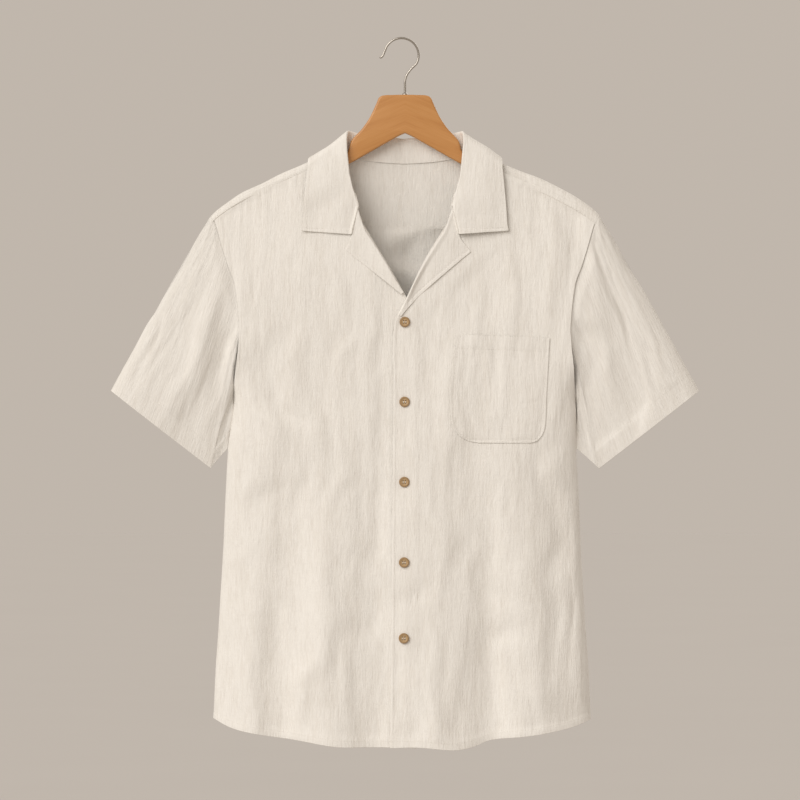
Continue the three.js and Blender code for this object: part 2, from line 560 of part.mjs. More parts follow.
// Chest pocket with rounded lower corners, its mouth pulled in a little at the inner end
const POCKET = [
  { z: -506, left: 92, right: 158 }, { z: -503.5, left: 79, right: 165 }, { z: -497, left: 68, right: 171 },
  { z: -488, left: 61, right: 174.5 }, { z: -474, left: 57, right: 176 }, { z: -445, left: 56.5, right: 177 },
  { z: -416, left: 57.5, right: 178.4 }, { z: -392, left: 65, right: 179.7 },
  { z: -373, left: 70, right: 180.7 },
];
const POCKET_COLUMNS = 12;
const POCKET_WALL = 1.3;
const POCKET_MOUTH_TILT = 4;      // the mouth is lower at its outer end
function pocket() {
  const rows = POCKET.map(({ z, left, right }, j) => {
    const row = [];
    for (let i = 0; i <= POCKET_COLUMNS; i++) {
      const x = lerp(left, right, i / POCKET_COLUMNS);
      const tilt = POCKET_MOUTH_TILT * (0.5 - i / POCKET_COLUMNS) * smooth((j - 4) / 4);
      row.push(bodyPoint(x, z + tilt, -1, LAY_GAP + POCKET_WALL));
    }
    return row;
  });
  return clothWall(rows, { wall: POCKET_WALL });
}
add('pocket', pocket(), 'cloth');

// Buttons: a disc with a bevelled rim and four thread holes
const BUTTON_HOLE_R = 0.9;
const BUTTON_HOLE_PITCH = 2.6;
const BUTTON_SIDES = 18;
const BUTTON_HOLE_SIDES = 5;
function polygon(x, y, radius, sides) {
  const points = [];
  for (let k = 0; k < sides; k++) {
    const angle = k * 2 * Math.PI / sides;
    points.push(new THREE.Vector2(x + radius * Math.cos(angle), y + radius * Math.sin(angle)));
  }
  return points;
}
function buttonShape(radius) {
  const shape = new THREE.Shape(polygon(0, 0, radius, BUTTON_SIDES));
  const away = BUTTON_HOLE_PITCH / 2;
  [[away, away], [-away, away], [-away, -away], [away, -away]].forEach(([x, y]) => {
    shape.holes.push(new THREE.Path(polygon(x, y, BUTTON_HOLE_R, BUTTON_HOLE_SIDES)));
  });
  return shape;
}
function button() {
  const bevel = 0.5;
  const geometry = new THREE.ExtrudeGeometry(buttonShape(BUTTON_D / 2 - bevel), {
    depth: BUTTON_THICK - 2 * bevel, bevelSize: bevel, bevelThickness: bevel, bevelSegments: 1,
  });
  return geometry.translate(0, 0, bevel).rotateX(Math.PI / 2);
}
BUTTON_Z.forEach((z, k) => {
  const x = -0.25 - 0.3 * k;
  let nearest = 0;
  for (let dx = -BUTTON_D / 2; dx <= BUTTON_D / 2; dx += BUTTON_D / 8) {
    for (let dz = -BUTTON_D / 2; dz <= BUTTON_D / 2; dz += BUTTON_D / 4) {
      nearest = Math.min(nearest, bodyPoint(x + dx, z + dz, -1).y);
    }
  }
  add(`button_${k + 1}`, button(), 'button').position.set(x, nearest - SEAM_GAP, z);
});

// Hanger: one flat board, its arms just under the yoke
const HANGER_TOP = [
  { x: 0, z: -69.6 }, { x: 16, z: -70 }, { x: 30, z: -71.2 }, { x: 33, z: -74 }, { x: 35.5, z: -80 },
  { x: 44, z: -98 }, { x: 53.5, z: -112 }, { x: 66.5, z: -127 }, { x: 67.5, z: -136 }, { x: 70.5, z: -145 },
  { x: 81, z: -150.5 },
];
const ARM_BELOW_RIDGE = 4.2;
const ARM_HEIGHT = 22.5;
const ARM_END_X = 219;
const HANGER_APEX_Z = -118;
const HANGER_BEVEL = 2;
function hangerHalf(side) {
  const points = HANGER_TOP.map(({ x, z }) => new THREE.Vector2(side * x, z));
  const armTop = (x) => shoulderZ(x) - ARM_BELOW_RIDGE;
  for (let x = 92; x < ARM_END_X - 6; x += 20) points.push(new THREE.Vector2(side * x, armTop(x)));
  const endZ = armTop(ARM_END_X - 8);
  [[-5, -1.5], [-1, -5], [0, -10], [-1, -15], [-5, -19], [-11, -20]].forEach(([dx, dz]) => {
    points.push(new THREE.Vector2(side * (ARM_END_X + dx), endZ + dz));
  });
  for (let x = 192; x > 76; x -= 20) points.push(new THREE.Vector2(side * x, armTop(x) - ARM_HEIGHT));
  points.push(new THREE.Vector2(side * 69, -156), new THREE.Vector2(side * 6, -121));
  return points;
}
function hanger() {
  const right = hangerHalf(1);
  const left = hangerHalf(-1).slice(1).reverse();
  const outline = [...right, new THREE.Vector2(0, HANGER_APEX_Z), ...left];
  const geometry = new THREE.ExtrudeGeometry(new THREE.Shape(outline), {
    depth: HANGER_THICK - 2 * HANGER_BEVEL, bevelSize: HANGER_BEVEL, bevelOffset: -HANGER_BEVEL,
    bevelThickness: HANGER_BEVEL, bevelSegments: 1,
  });
  return geometry.translate(0, 0, -HANGER_THICK / 2 + HANGER_BEVEL).rotateX(Math.PI / 2);
}
add('hanger', hanger(), 'wood');

// Hook: a wire that rises from the board and turns over the rod
const HOOK_R = 21.5;              // bend radius at the middle of the wire
const HOOK_CENTRE = { x: -4.4, z: HOOK_WIRE_R - HOOK_R };
const HOOK_STEPS = 38;
function hook() {
  const path = [[0, -69.2], [0, -60], [0.1, -52], [2.5, -44.5], [8, -37]];
  for (let degrees = -30; degrees <= 165; degrees += 19.5) {
    const angle = degrees * Math.PI / 180;
    path.push([HOOK_CENTRE.x + HOOK_R * Math.cos(angle), HOOK_CENTRE.z + HOOK_R * Math.sin(angle)]);
  }
  path.push([-28.5, -21.5], [-32, -23.5]);
  const curve = new THREE.CatmullRomCurve3(path.map(([x, z]) => vec(x, 0, z)), false, 'centripetal');
  const section = new THREE.Shape();
  section.absarc(0, 0, HOOK_WIRE_R, 0, 2 * Math.PI);
  return new THREE.ExtrudeGeometry(section, { steps: HOOK_STEPS, curveSegments: 5, extrudePath: curve });
}
add('hook', hook(), 'steel');

export default shirt;
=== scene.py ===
"""A short-sleeved camp shirt of cotton gauze on a flat wooden hanger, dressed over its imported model.

Sizes in the classes are millimetres, and MM turns them into Blender's metres when a mesh is made.
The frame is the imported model's: +X to the right, -Y to the front, +Z up, with the origin where
a rod carries the hook.
"""

import logging
import math
from dataclasses import dataclass, field, replace
from enum import Enum

import bpy
import numpy as np
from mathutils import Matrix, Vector


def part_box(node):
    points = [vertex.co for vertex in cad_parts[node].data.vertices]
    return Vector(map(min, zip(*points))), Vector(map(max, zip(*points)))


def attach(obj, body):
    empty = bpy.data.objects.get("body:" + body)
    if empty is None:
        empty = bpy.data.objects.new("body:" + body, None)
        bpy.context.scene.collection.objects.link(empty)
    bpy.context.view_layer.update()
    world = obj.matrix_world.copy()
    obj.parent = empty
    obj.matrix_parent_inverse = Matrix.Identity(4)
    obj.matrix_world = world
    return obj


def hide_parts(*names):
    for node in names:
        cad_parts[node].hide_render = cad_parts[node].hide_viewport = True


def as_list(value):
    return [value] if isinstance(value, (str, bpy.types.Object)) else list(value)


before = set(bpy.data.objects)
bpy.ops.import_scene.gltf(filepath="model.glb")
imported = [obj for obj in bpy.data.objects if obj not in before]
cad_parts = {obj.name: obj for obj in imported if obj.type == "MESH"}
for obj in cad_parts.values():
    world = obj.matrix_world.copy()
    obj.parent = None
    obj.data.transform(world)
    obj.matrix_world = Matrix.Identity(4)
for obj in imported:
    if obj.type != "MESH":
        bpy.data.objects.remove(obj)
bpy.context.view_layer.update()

MM = 0.001
ROOT = "root"
SEAM_GAP = 0.3           # between pieces that are sewn together
UNDER_DROP = 2.1         # how far the left front lies under the right one
CLOTH = 0.9              # one layer of gauze with its crinkle
DOUBLED = 1.15           # facing, collar and placket cloth
SHARP_ANGLE = math.radians(48)

INSIDE_GRAIN = np.array([0.0, 0.0, 30.0])      # so that a cloth's inside has crinkles of its own
THREAD_GRAIN = np.array([0.0, 0.0, 60.0])

Numbers = float | np.ndarray
Triple = tuple[float, float, float]

log = logging.getLogger("camp shirt")


class Face(Enum):
    """The side of the body that a cloth lies on, as the sign of Y."""

    FRONT = -1
    BACK = 1


class Hand(Enum):
    """Half of the shirt as the viewer sees it, as the sign of X."""

    RIGHT = 1
    LEFT = -1


class Edge(Enum):
    """An edge of a grid of cloth points."""

    FIRST_ROW = "first row"
    LAST_ROW = "last row"
    FIRST_COLUMN = "first column"
    LAST_COLUMN = "last column"


class Slot(Enum):
    """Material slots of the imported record."""

    COTTON = "cotton"
    BUTTON = "button"
    WOOD = "hanger_wood"
    STEEL = "hook_steel"


def lerp(a: Numbers, b: Numbers, t: Numbers) -> Numbers:
    """Blend from a, at t = 0, to b, at t = 1."""
    return a + (b - a) * t


def smooth(t: Numbers) -> Numbers:
    """Ease from 0 to 1 as t goes from 0 to 1, level beyond."""
    c = np.clip(t, 0.0, 1.0)
    return c * c * (3 - 2 * c)


def bell(distance: Numbers, half_width: Numbers) -> Numbers:
    """Rounded bump, 1 in the middle and about a third at its half width."""
    return np.exp(-((distance / half_width) ** 2))


def unit(vectors: np.ndarray) -> np.ndarray:
    """Scale vectors, held in the last axis, to length 1."""
    return vectors / np.maximum(np.linalg.norm(vectors, axis=-1, keepdims=True), 1e-9)


def stack(x: Numbers, y: Numbers, z: Numbers) -> np.ndarray:
    """Join coordinates into points, held in a new last axis."""
    return np.stack(np.broadcast_arrays(x, y, z), axis=-1).astype(float)


def each(kind: type, *table: tuple) -> tuple:
    """Make one object of a kind from each row of a table."""
    return tuple(kind(*row) for row in table)


def tube_faces(rings: int, sides: int, first: int = 0) -> list[tuple[int, ...]]:
    """Faces of a tube of rings of points, closed at both ends.

    Args:
        rings: How many rings.
        sides: Points in each ring.
        first: Number of the first point.

    Returns:
        Corner numbers of every face.
    """
    last = first + (rings - 1) * sides
    faces = []
    for start in range(first, last, sides):
        for k in range(sides):
            a, b = start + k, start + (k + 1) % sides
            faces.append((a, a + sides, b + sides, b))
    faces.append(tuple(range(first, first + sides)))
    faces.append(tuple(range(last + sides - 1, last - 1, -1)))
    return faces


def stations(count: int, *dense: tuple[float, float, float]) -> np.ndarray:
    """Places from 0 to 1, closer together where the cloth needs it.

    Args:
        count: How many places.
        dense: Rows of middle, half width and gain of each closer stretch.

    Returns:
        Rising array that starts at 0 and ends at 1.
    """
    t = np.linspace(0.0, 1.0, 4001)
    density = np.ones_like(t)
    for middle, half_width, gain in dense:
        density += gain * bell(t - middle, half_width)
    total = np.concatenate([[0.0], np.cumsum((density[1:] + density[:-1]) / 2)])
    return np.interp(np.linspace(0.0, total[-1], count), total, t)


class Curve:
    """A smooth curve through knots, level beyond its ends."""

    def __init__(self, *knots: tuple[float, float]) -> None:
        """Keep the knots and work out the slope at each.

        Args:
            knots: Pairs of place and value.
        """
        self.at, self.value = np.array(sorted(knots), dtype=float).T
        before = np.maximum(np.arange(len(knots)) - 1, 0)
        after = np.minimum(np.arange(len(knots)) + 1, len(knots) - 1)
        rise = self.value[after] - self.value[before]
        self.slope = rise / (self.at[after] - self.at[before])

    def __call__(self, at: Numbers) -> np.ndarray:
        """Read the curve.

        Args:
            at: Places.

        Returns:
            Value at each place.
        """
        place = np.clip(np.asarray(at, dtype=float), self.at[0], self.at[-1])
        k = np.clip(np.searchsorted(self.at, place, side="right") - 1, 0, len(self.at) - 2)
        span = self.at[k + 1] - self.at[k]
        t = (place - self.at[k]) / span
        t2, t3 = t * t, t * t * t
        start = (2 * t3 - 3 * t2 + 1) * self.value[k] + (t3 - 2 * t2 + t) * span * self.slope[k]
        return start + (3 * t2 - 2 * t3) * self.value[k + 1] + (t3 - t2) * span * self.slope[k + 1]


class Noise:
    """Smooth seeded noise over two cloth coordinates, from -1 to 1."""

    SIZE = 128

    def __init__(self, seed: int) -> None:
        """Fill the lattice.

        Args:
            seed: Seed of the lattice's values.
        """
        self.lattice = np.random.default_rng(seed).uniform(-1.0, 1.0, (self.SIZE, self.SIZE))

    def __call__(self, u: np.ndarray, v: np.ndarray) -> np.ndarray:
        """Read the noise.

        Args:
            u: First coordinate, one lattice cell to the unit.
            v: Second coordinate.

        Returns:
            Noise at each point.
        """
        i, j = np.floor(u).astype(int), np.floor(v).astype(int)
        s, t = smooth(u - i), smooth(v - j)
        i0, i1 = i % self.SIZE, (i + 1) % self.SIZE
        j0, j1 = j % self.SIZE, (j + 1) % self.SIZE
        low = lerp(self.lattice[i0, j0], self.lattice[i1, j0], s)
        high = lerp(self.lattice[i0, j1], self.lattice[i1, j1], s)
        return lerp(low, high, t)


@dataclass(frozen=True)
class Fold:
    """A large fold of the hung body: its place at the hem, half width and height there."""

    x: float
    wide: float
    out: float


@dataclass(frozen=True)
class Crease:
    """A soft trough, or a ridge where its depth is negative, placed on a cloth."""

    x: float
    z: float
    length: float
    width: float
    depth: float
    lean: float = 0.0        # degrees from upright, towards +X at its upper end

    def height(self, across: np.ndarray, along: np.ndarray) -> np.ndarray:
        """Height that the crease adds.

        Args:
            across: Sideways cloth coordinate.
            along: Upward cloth coordinate.

        Returns:
            Height, negative in a trough.
        """
        turn = math.radians(self.lean)
        dx, dz = across - self.x, along - self.z
        up = dx * math.sin(turn) + dz * math.cos(turn)
        side = dx * math.cos(turn) - dz * math.sin(turn)
        ends = np.clip(1 - (2 * up / self.length) ** 2, 0.0, 1.0) ** 2
        return -self.depth * bell(side, self.width) * ends


@dataclass(frozen=True)
class Gather:
    """A gather held in a seam that spreads and dies out away from it."""

    x: float
    length: float
    width: float
    depth: float
    drift: float = 0.0       # sideways travel along its length

    def height(self, across: np.ndarray, below: np.ndarray) -> np.ndarray:
        """Height that the gather adds.

        Args:
            across: Sideways cloth coordinate.
            below: Distance from the seam.

        Returns:
            Height, negative in a trough.
        """
        share = np.clip(below / self.length, 0.0, 1.0)
        width = self.width * (1 + 1.1 * share)
        fade = (1 - share) ** 2 * smooth((below + 1.0) / 3.0)
        return -0.55 * self.depth * bell(across - self.x - self.drift * share, width) * fade


@dataclass(frozen=True)
class Ripple:
    """One scale of the crinkle of washed gauze."""

    wide: float
    long: float
    high: float
    sharp: bool = False      # creased like paper in place of rounded


GAUZE = (
    Ripple(3.4, 22, 0.1, True),
    Ripple(7.0, 44, 0.2, True),
    Ripple(14, 80, 1.05),
    Ripple(30, 150, 2.9),
    Ripple(64, 260, 3.6),
)


@dataclass(frozen=True)
class Relief:
    """Height of a cloth over its plain form: its crinkle and the creases placed on it."""

    seed: int
    creases: tuple[Crease, ...] = ()
    strength: float = 1.0
    ripples: tuple[Ripple, ...] = GAUZE

    def height(self, across: np.ndarray, along: np.ndarray) -> np.ndarray:
        """Height of the cloth.

        Args:
            across: Cloth coordinate across the grain.
            along: Cloth coordinate along the grain.

        Returns:
            Height over the plain form.
        """
        across, along = np.broadcast_arrays(across, along)
        total = np.zeros(across.shape)
        wander = Noise(self.seed + 50)(along / 45, across / 60)
        for k, ripple in enumerate(self.ripples):
            noise = Noise(self.seed + k)
            value = noise(across / ripple.wide + 0.8 * wander + 40, along / ripple.long + 40)
            shape = 1 - 2.2 * np.abs(value) if ripple.sharp else value
            total += self.strength * ripple.high * shape
        for crease in self.creases:
            total += crease.height(across, along)
        return total


@dataclass(frozen=True)
class BodyForm:
    """The body of the hung shirt: flat, a little open, its folds growing towards the hem."""

    board: float = 11.0
    clearance: float = 1.2
    wall: float = 1.6
    opening: float = 14.0        # how far the body opens below the ridge
    flare: float = 0.035         # and goes on opening towards the hem
    sway: float = 3.6            # of the side seams to -X below the armpits
    side_power: float = 3.0      # roundness of the body's sides
    armpit_power: float = 9.0    # and what is added to it at the armpits
    fold_fade: float = 7.0       # how late the folds die out towards the sides
    armpit_z: float = -455.0
    hem_side_z: float = -851.0
    fold_top_z: float = -380.0
    back_yoke_z: float = -237.0
    tip_x: float = 243.5
    ridge_z: float = -221.0      # where the shoulder ridge meets the armhole
    shoulder: Curve = Curve((0, -100), (80, -136), (120, -153.5), (151, -167), (184, -182.5),
                            (213, -198), (234, -212.5), (245, -223))
    side: Curve = Curve((-860, 237), (-790, 234), (-740, 230.5), (-690, 227.5), (-640, 224.5),
                        (-565, 221.2), (-514, 218.5), (-455, 214.7))
    armhole: Curve = Curve((-455, 215.5), (-440, 214), (-415, 211.5), (-390, 208.5), (-360, 207),
                           (-307, 213), (-285, 221), (-260, 229), (-236, 237), (-221, 243.5))
    hem: Curve = Curve((-240, -851), (-216, -862), (-180, -869), (-129, -875), (-84, -881), (-40, -880.5),
                       (16, -880), (62, -884.5), (86, -881), (108, -873.5), (144, -870.5), (170, -868),
                       (208, -861), (236, -851))
    front_folds: tuple[Fold, ...] = each(
        Fold, (-205, 24, 4), (-157, 24, -8), (-97, 30, 7), (-42, 24, -6), (38, 34, 6), (107, 22, -10),
        (166, 30, 8))
    back_folds: tuple[Fold, ...] = each(
        Fold, (-168, 30, 7), (-110, 24, -9), (-46, 32, 6), (14, 24, -7), (82, 28, 8), (146, 24, -8),
        (200, 22, 4))

    @property
    def ridge_r(self) -> float:
        """Radius of the cloth over the hanger's edge."""
        return self.board / 2 + self.clearance + self.wall

    @property
    def half_turn(self) -> float:
        """Cloth length from the shoulder ridge down to its side."""
        return self.ridge_r * math.pi / 2

    def shoulder_z(self, x: Numbers) -> np.ndarray:
        """Height of the shoulder ridge at a sideways place."""
        return self.shoulder(np.abs(x))

    def side_x(self, z: Numbers, hand: Numbers) -> np.ndarray:
        """Place of a side seam.

        Args:
            z: Height.
            hand: Sign of X of the seam.

        Returns:
            X of the seam, moved a little to -X below the armpits as the body hangs.
        """
        return hand * self.side(z) - self.sway * smooth((self.armpit_z - z) / 60)

    def depth(self, drop: Numbers) -> np.ndarray:
        """Half depth of the body.

        Args:
            drop: Distance below the shoulder ridge.

        Returns:
            Distance from the middle plane to the cloth's outer face.
        """
        r = self.ridge_r
        drop = np.maximum(drop, 0.0)
        near = np.sqrt(np.maximum(r * r - (r - drop) ** 2, 0.0))
        below = np.maximum(drop - r, 0.0)
        far = r + self.opening * (1 - np.exp(-below / 120)) + self.flare * below
        return np.where(drop < r, near, far)

    def side_share(self, x: Numbers, z: Numbers) -> np.ndarray:
        """How far a place lies from the middle (0) to the side seam (1)."""
        low = np.minimum(z, self.armpit_z)
        edge = np.abs(self.side_x(low, np.where(x < 0, -1, 1)))
        return np.clip(np.abs(x) / edge, 0.0, 1.0)

    def closing(self, x: Numbers, z: Numbers) -> np.ndarray:
        """Share of the depth that is left towards the side seams below the armpits.

        Args:
            x: Sideways places.
            z: Heights.

        Returns:
            Shares: 1 in the middle and above the armpits, 0 at a side seam.
        """
        power = self.side_power + self.armpit_power * bell(z - self.armpit_z - 10, 65)
        left = np.sqrt(1 - self.side_share(x, z) ** power)
        return lerp(left, 1.0, smooth((z - self.armpit_z) / 60))

    def folded(self, x: Numbers, z: Numbers, face: Face) -> np.ndarray:
        """How far the large folds stand out.

        Args:
            x: Sideways places.
            z: Heights.
            face: Front or back.

        Returns:
            Distance out of the plain form, negative in a trough.
        """
        grown = smooth((self.fold_top_z - z) / (self.fold_top_z - self.hem_side_z))
        grown = grown * (1 - self.side_share(x, z) ** self.fold_fade)
        total = 0.0
        for fold in self.front_folds if face is Face.FRONT else self.back_folds:
            middle = fold.x * lerp(0.86, 1.0, grown)
            total = total + fold.out * grown * bell(x - middle, fold.wide)
        return total

    def surface(self, x: Numbers, z: Numbers, face: Face) -> np.ndarray:
        """Points of the cloth's outer face.

        Args:
            x: Sideways places.
            z: Heights.
            face: Front or back.

        Returns:
            Points.
        """
        half = self.depth(self.shoulder_z(x) - z)
        return stack(x, face.value * (half * self.closing(x, z) + self.folded(x, z, face)), z)

    def outward(self, x: Numbers, z: Numbers, face: Face) -> np.ndarray:
        """Direction out of the cloth at points of its face.

        Args:
            x: Sideways places.
            z: Heights.
            face: Front or back.

        Returns:
            Directions of length 1.
        """
        step = 1.5
        along_x = self.surface(x + step, z, face) - self.surface(x - step, z, face)
        along_z = self.surface(x, z + step, face) - self.surface(x, z - step, face)
        out = unit(np.cross(along_x, along_z))
        return np.where(out[..., 1:2] * face.value > 0, out, -out)

    def lifted(self, x: Numbers, z: Numbers, face: Face, lift: np.ndarray) -> np.ndarray:
        """Points a given distance out of the cloth's face."""
        return self.surface(x, z, face) + self.outward(x, z, face) * lift[..., None]

    def over_ridge(self, x: Numbers, run: Numbers, lift: Numbers = 0.0) -> np.ndarray:
        """Points near the shoulder ridge.

        Args:
            x: Sideways places.
            run: Cloth length from the ridge, positive to the front.
            lift: Distance out of the cloth.

        Returns:
            Points.
        """
        away = np.abs(run)
        angle = np.minimum(away, self.half_turn) / self.ridge_r
        turned = self.ridge_r * (1 - np.cos(angle))
        drop = np.where(away < self.half_turn, turned, away - self.half_turn + self.ridge_r)
        half = np.where(away < self.half_turn, self.ridge_r * np.sin(angle), self.depth(drop))
        y = np.where(np.asarray(run) > 0, -1, 1) * (half + lift * np.sin(angle))
        return stack(x, y, self.shoulder_z(x) - drop + lift * np.cos(angle))

    def over_ridge_out(self, x: Numbers, run: Numbers) -> np.ndarray:
        """Direction out of the cloth near the shoulder ridge."""
        return unit(self.over_ridge(x, run, 1.0) - self.over_ridge(x, run))

    def run_at(self, x: Numbers, z: Numbers) -> np.ndarray:
        """Cloth length from the ridge down to a height."""
        return np.maximum(0.0, self.shoulder_z(x) - z - self.ridge_r) + self.half_turn


BODY = BodyForm()


@dataclass
class ClothGrid:
    """Points on the outer face of a cloth, in rows, with their cloth coordinates.

    away is roughly the way out of the cloth, and a closed grid's last column meets its first.
    """

    points: np.ndarray
    across: np.ndarray
    along: np.ndarray
    away: np.ndarray
    closed: bool = False
    out: np.ndarray = field(init=False)
    sign: float = field(init=False)

    def __post_init__(self) -> None:
        """Work out the way out of the cloth at every point."""
        shape = self.points.shape[:2]
        self.across = np.broadcast_to(self.across, shape)
        self.along = np.broadcast_to(self.along, shape)
        if self.closed:
            row_way = np.roll(self.points, -1, axis=1) - np.roll(self.points, 1, axis=1)
        else:
            row_way = np.gradient(self.points, axis=1)
        cross = np.cross(unit(row_way), unit(np.gradient(self.points, axis=0)))
        self.sign = 1.0 if np.sum(cross * self.away) > 0 else -1.0
        clear = np.linalg.norm(cross, axis=-1, keepdims=True) > 0.2
        self.out = np.where(clear, unit(cross) * self.sign, unit(self.away))

    def lifted(self, height: Numbers) -> "ClothGrid":
        """The same cloth with its points moved out of it by a height."""
        height = np.broadcast_to(height, self.points.shape[:2])
        return replace(self, points=self.points + self.out * height[..., None])

    def whole(self) -> np.ndarray:
        """The points, with a closed grid's first column again after its last."""
        return np.concatenate([self.points, self.points[:, :1]], axis=1) if self.closed else self.points

    def area(self) -> float:
        """Area of one side of the cloth in square millimetres."""
        p = self.whole()
        one = np.cross(p[1:, 1:] - p[:-1, :-1], p[:-1, 1:] - p[1:, :-1])
        return float(np.linalg.norm(one, axis=-1).sum() / 2)

    def flat_size(self, allowance: float) -> tuple[float, float]:
        """Length of the longest row and column with seam allowances, in millimetres.

        Args:
            allowance: Seam allowance on each side.

        Returns:
            Width and length.
        """
        p = self.whole()
        wide = np.linalg.norm(np.diff(p, axis=1), axis=-1).sum(axis=1).max()
        long = np.linalg.norm(np.diff(p, axis=0), axis=-1).sum(axis=0).max()
        return float(wide) + 2 * allowance, float(long) + 2 * allowance

    def inset(self, edge: Edge, distance: float, start: float = 0.0, stop: float = 1.0) -> "Path":
        """A path inside an edge.

        Args:
            edge: The edge that the path follows.
            distance: Distance from the edge, measured on the cloth.
            start: Share of the edge at which the path begins.
            stop: Share of the edge at which it ends.

        Returns:
            The path.
        """
        points, out = self.points, self.out
        if edge in (Edge.FIRST_COLUMN, Edge.LAST_COLUMN):
            points, out = points.swapaxes(0, 1), out.swapaxes(0, 1)
        if edge in (Edge.LAST_ROW, Edge.LAST_COLUMN):
            points, out = points[::-1], out[::-1]
        steps = np.cumsum(np.linalg.norm(np.diff(points, axis=0), axis=2), axis=0)
        length = np.concatenate([np.zeros((1, points.shape[1])), steps])
        column = np.arange(points.shape[1])
        k = np.clip(np.argmax(length > distance, axis=0) - 1, 0, len(length) - 2)
        span = np.maximum(length[k + 1, column] - length[k, column], 1e-6)
        t = ((distance - length[k, column]) / span)[:, None]
        path = lerp(points[k, column], points[k + 1, column], t)
        normal = unit(lerp(out[k, column], out[k + 1, column], t))
        keep = slice(round(start * len(column)), max(round(stop * len(column)), 2))
        return Path(path[keep], normal[keep])


@dataclass(frozen=True)
class Path:
    """A line on a cloth with the way out of the cloth at every point."""

    points: np.ndarray
    out: np.ndarray

    def spaced(self, pitch: float) -> tuple[np.ndarray, np.ndarray, np.ndarray]:
        """Places at equal distances.

        Args:
            pitch: Distance from place to place.

        Returns:
            Places, ways along the path and ways out of the cloth.
        """
        step = np.linalg.norm(np.diff(self.points, axis=0), axis=1)
        length = np.concatenate([[0.0], np.cumsum(step)])
        at = np.arange(pitch / 2, length[-1] - pitch / 2, pitch)
        place = np.stack([np.interp(at, length, self.points[:, k]) for k in range(3)], axis=1)
        ahead = np.stack([np.interp(at + 0.5, length, self.points[:, k]) for k in range(3)], axis=1)
        out = unit(np.stack([np.interp(at, length, self.out[:, k]) for k in range(3)], axis=1))
        return place, unit(ahead - place), out


def mesh_object(name: str, points: np.ndarray, faces: list, grain: np.ndarray | None = None,
                sharp: float = SHARP_ANGLE) -> bpy.types.Object:
    """Make an object from points and faces.

    Args:
        name: Name of the object.
        points: Points in millimetres.
        faces: Corner numbers of every face.
        grain: Cloth coordinates of every point in millimetres, or None.
        sharp: Angle from which an edge stays sharp.

    Returns:
        The object, linked to the scene.
    """
    mesh = bpy.data.meshes.new(name)
    mesh.from_pydata((points * MM).tolist(), [], faces)
    if grain is not None:
        layer = mesh.attributes.new("grain", "FLOAT_VECTOR", "POINT")
        layer.data.foreach_set("vector", (grain * MM).astype(np.float32).ravel())
    mesh.shade_smooth()
    mesh.set_sharp_from_angle(angle=sharp)
    obj = bpy.data.objects.new(name, mesh)
    bpy.context.scene.collection.objects.link(obj)
    return obj


def shell(name: str, grid: ClothGrid, thickness: float, rim: float = 0.35) -> bpy.types.Object:
    """Turn a grid into a closed cloth with rounded edges.

    Args:
        name: Name of the object.
        grid: The cloth's outer face.
        thickness: Distance to its inner face.
        rim: How far the edges are rounded out, as a share of the thickness.

    Returns:
        The object.
    """
    rows, columns = grid.points.shape[:2]
    index = np.arange(rows * columns).reshape(rows, columns)
    if grid.closed:
        index = np.concatenate([index, index[:, :1]], axis=1)
        loops = [index[0, :-1], index[-1, :0:-1]]
    else:
        loops = [np.concatenate([index[0, :-1], index[:-1, -1], index[-1, :0:-1], index[:0:-1, 0]])]
    quads = np.stack([index[:-1, :-1], index[:-1, 1:], index[1:, 1:], index[1:, :-1]], axis=-1)
    quads = quads.reshape(-1, 4)
    outer, out = grid.points.reshape(-1, 3), grid.out.reshape(-1, 3)
    inner = outer - out * thickness
    cloth = stack(grid.across, grid.along, 0.0).reshape(-1, 3)
    points, faces = [outer, inner], [quads, quads[:, ::-1] + len(outer)]
    grain = [cloth, cloth + INSIDE_GRAIN]
    start = 2 * len(outer)
    for loop in loops:
        after = np.roll(loop, -1)
        way = unit(outer[after] - outer[np.roll(loop, 1)])
        side = unit(np.cross(way, out[loop])) * grid.sign
        points.append(outer[loop] - out[loop] * thickness / 2 + side * rim * thickness)
        grain.append(cloth[loop])
        ring = start + np.arange(len(loop))
        ring_after = np.roll(ring, -1)
        start += len(loop)
        faces.append(np.stack([after, loop, ring, ring_after], axis=1))
        faces.append(np.stack([ring_after, ring, loop + len(outer), after + len(outer)], axis=1))
    faces = np.concatenate(faces)
    if grid.sign < 0:
        faces = faces[:, ::-1]
    return mesh_object(name, np.concatenate(points), faces.tolist(), np.concatenate(grain))


@dataclass(frozen=True)
class Thread:
    """Sewing thread: a row of short stitches that dip into the cloth at both ends."""

    pitch: float = 3.3
    length: float = 2.5
    radius: float = 0.23
    sides: int = 5
    reach: tuple[float, ...] = (-1.0, -0.66, 0.0, 0.66, 1.0)

    def sew(self, name: str, paths: list[Path]) -> bpy.types.Object:
        """Sew along paths.

        Args:
            name: Name of the stitching.
            paths: Lines on the cloth.

        Returns:
            One object with all the stitches.
        """
        place, way, out = (np.concatenate(part) for part in zip(*(p.spaced(self.pitch) for p in paths)))
        reach = np.array(self.reach)
        turn = np.arange(self.sides) * 2 * math.pi / self.sides
        ahead = np.broadcast_to(reach[:, None] * self.length / 2, (len(reach), self.sides))
        width = self.radius * np.sqrt(1.06 - np.abs(reach) ** 3)
        height = self.radius * (0.5 - 1.5 * reach ** 4)

        def spread(vectors: np.ndarray, amount: np.ndarray) -> np.ndarray:
            """Vectors of every stitch times an amount for every ring and side."""
            return vectors[:, None, None, :] * amount[None, :, :, None]

        points = (place[:, None, None, :] + spread(way, ahead)
                  + spread(np.cross(way, out), width[:, None] * np.cos(turn))
                  + spread(out, height[:, None] + width[:, None] * np.sin(turn))).reshape(-1, 3)
        faces = []
        for first in range(0, len(points), ahead.size):
            faces += tube_faces(len(reach), self.sides, first)
        return mesh_object(name, points, faces, points + THREAD_GRAIN, sharp=math.pi)


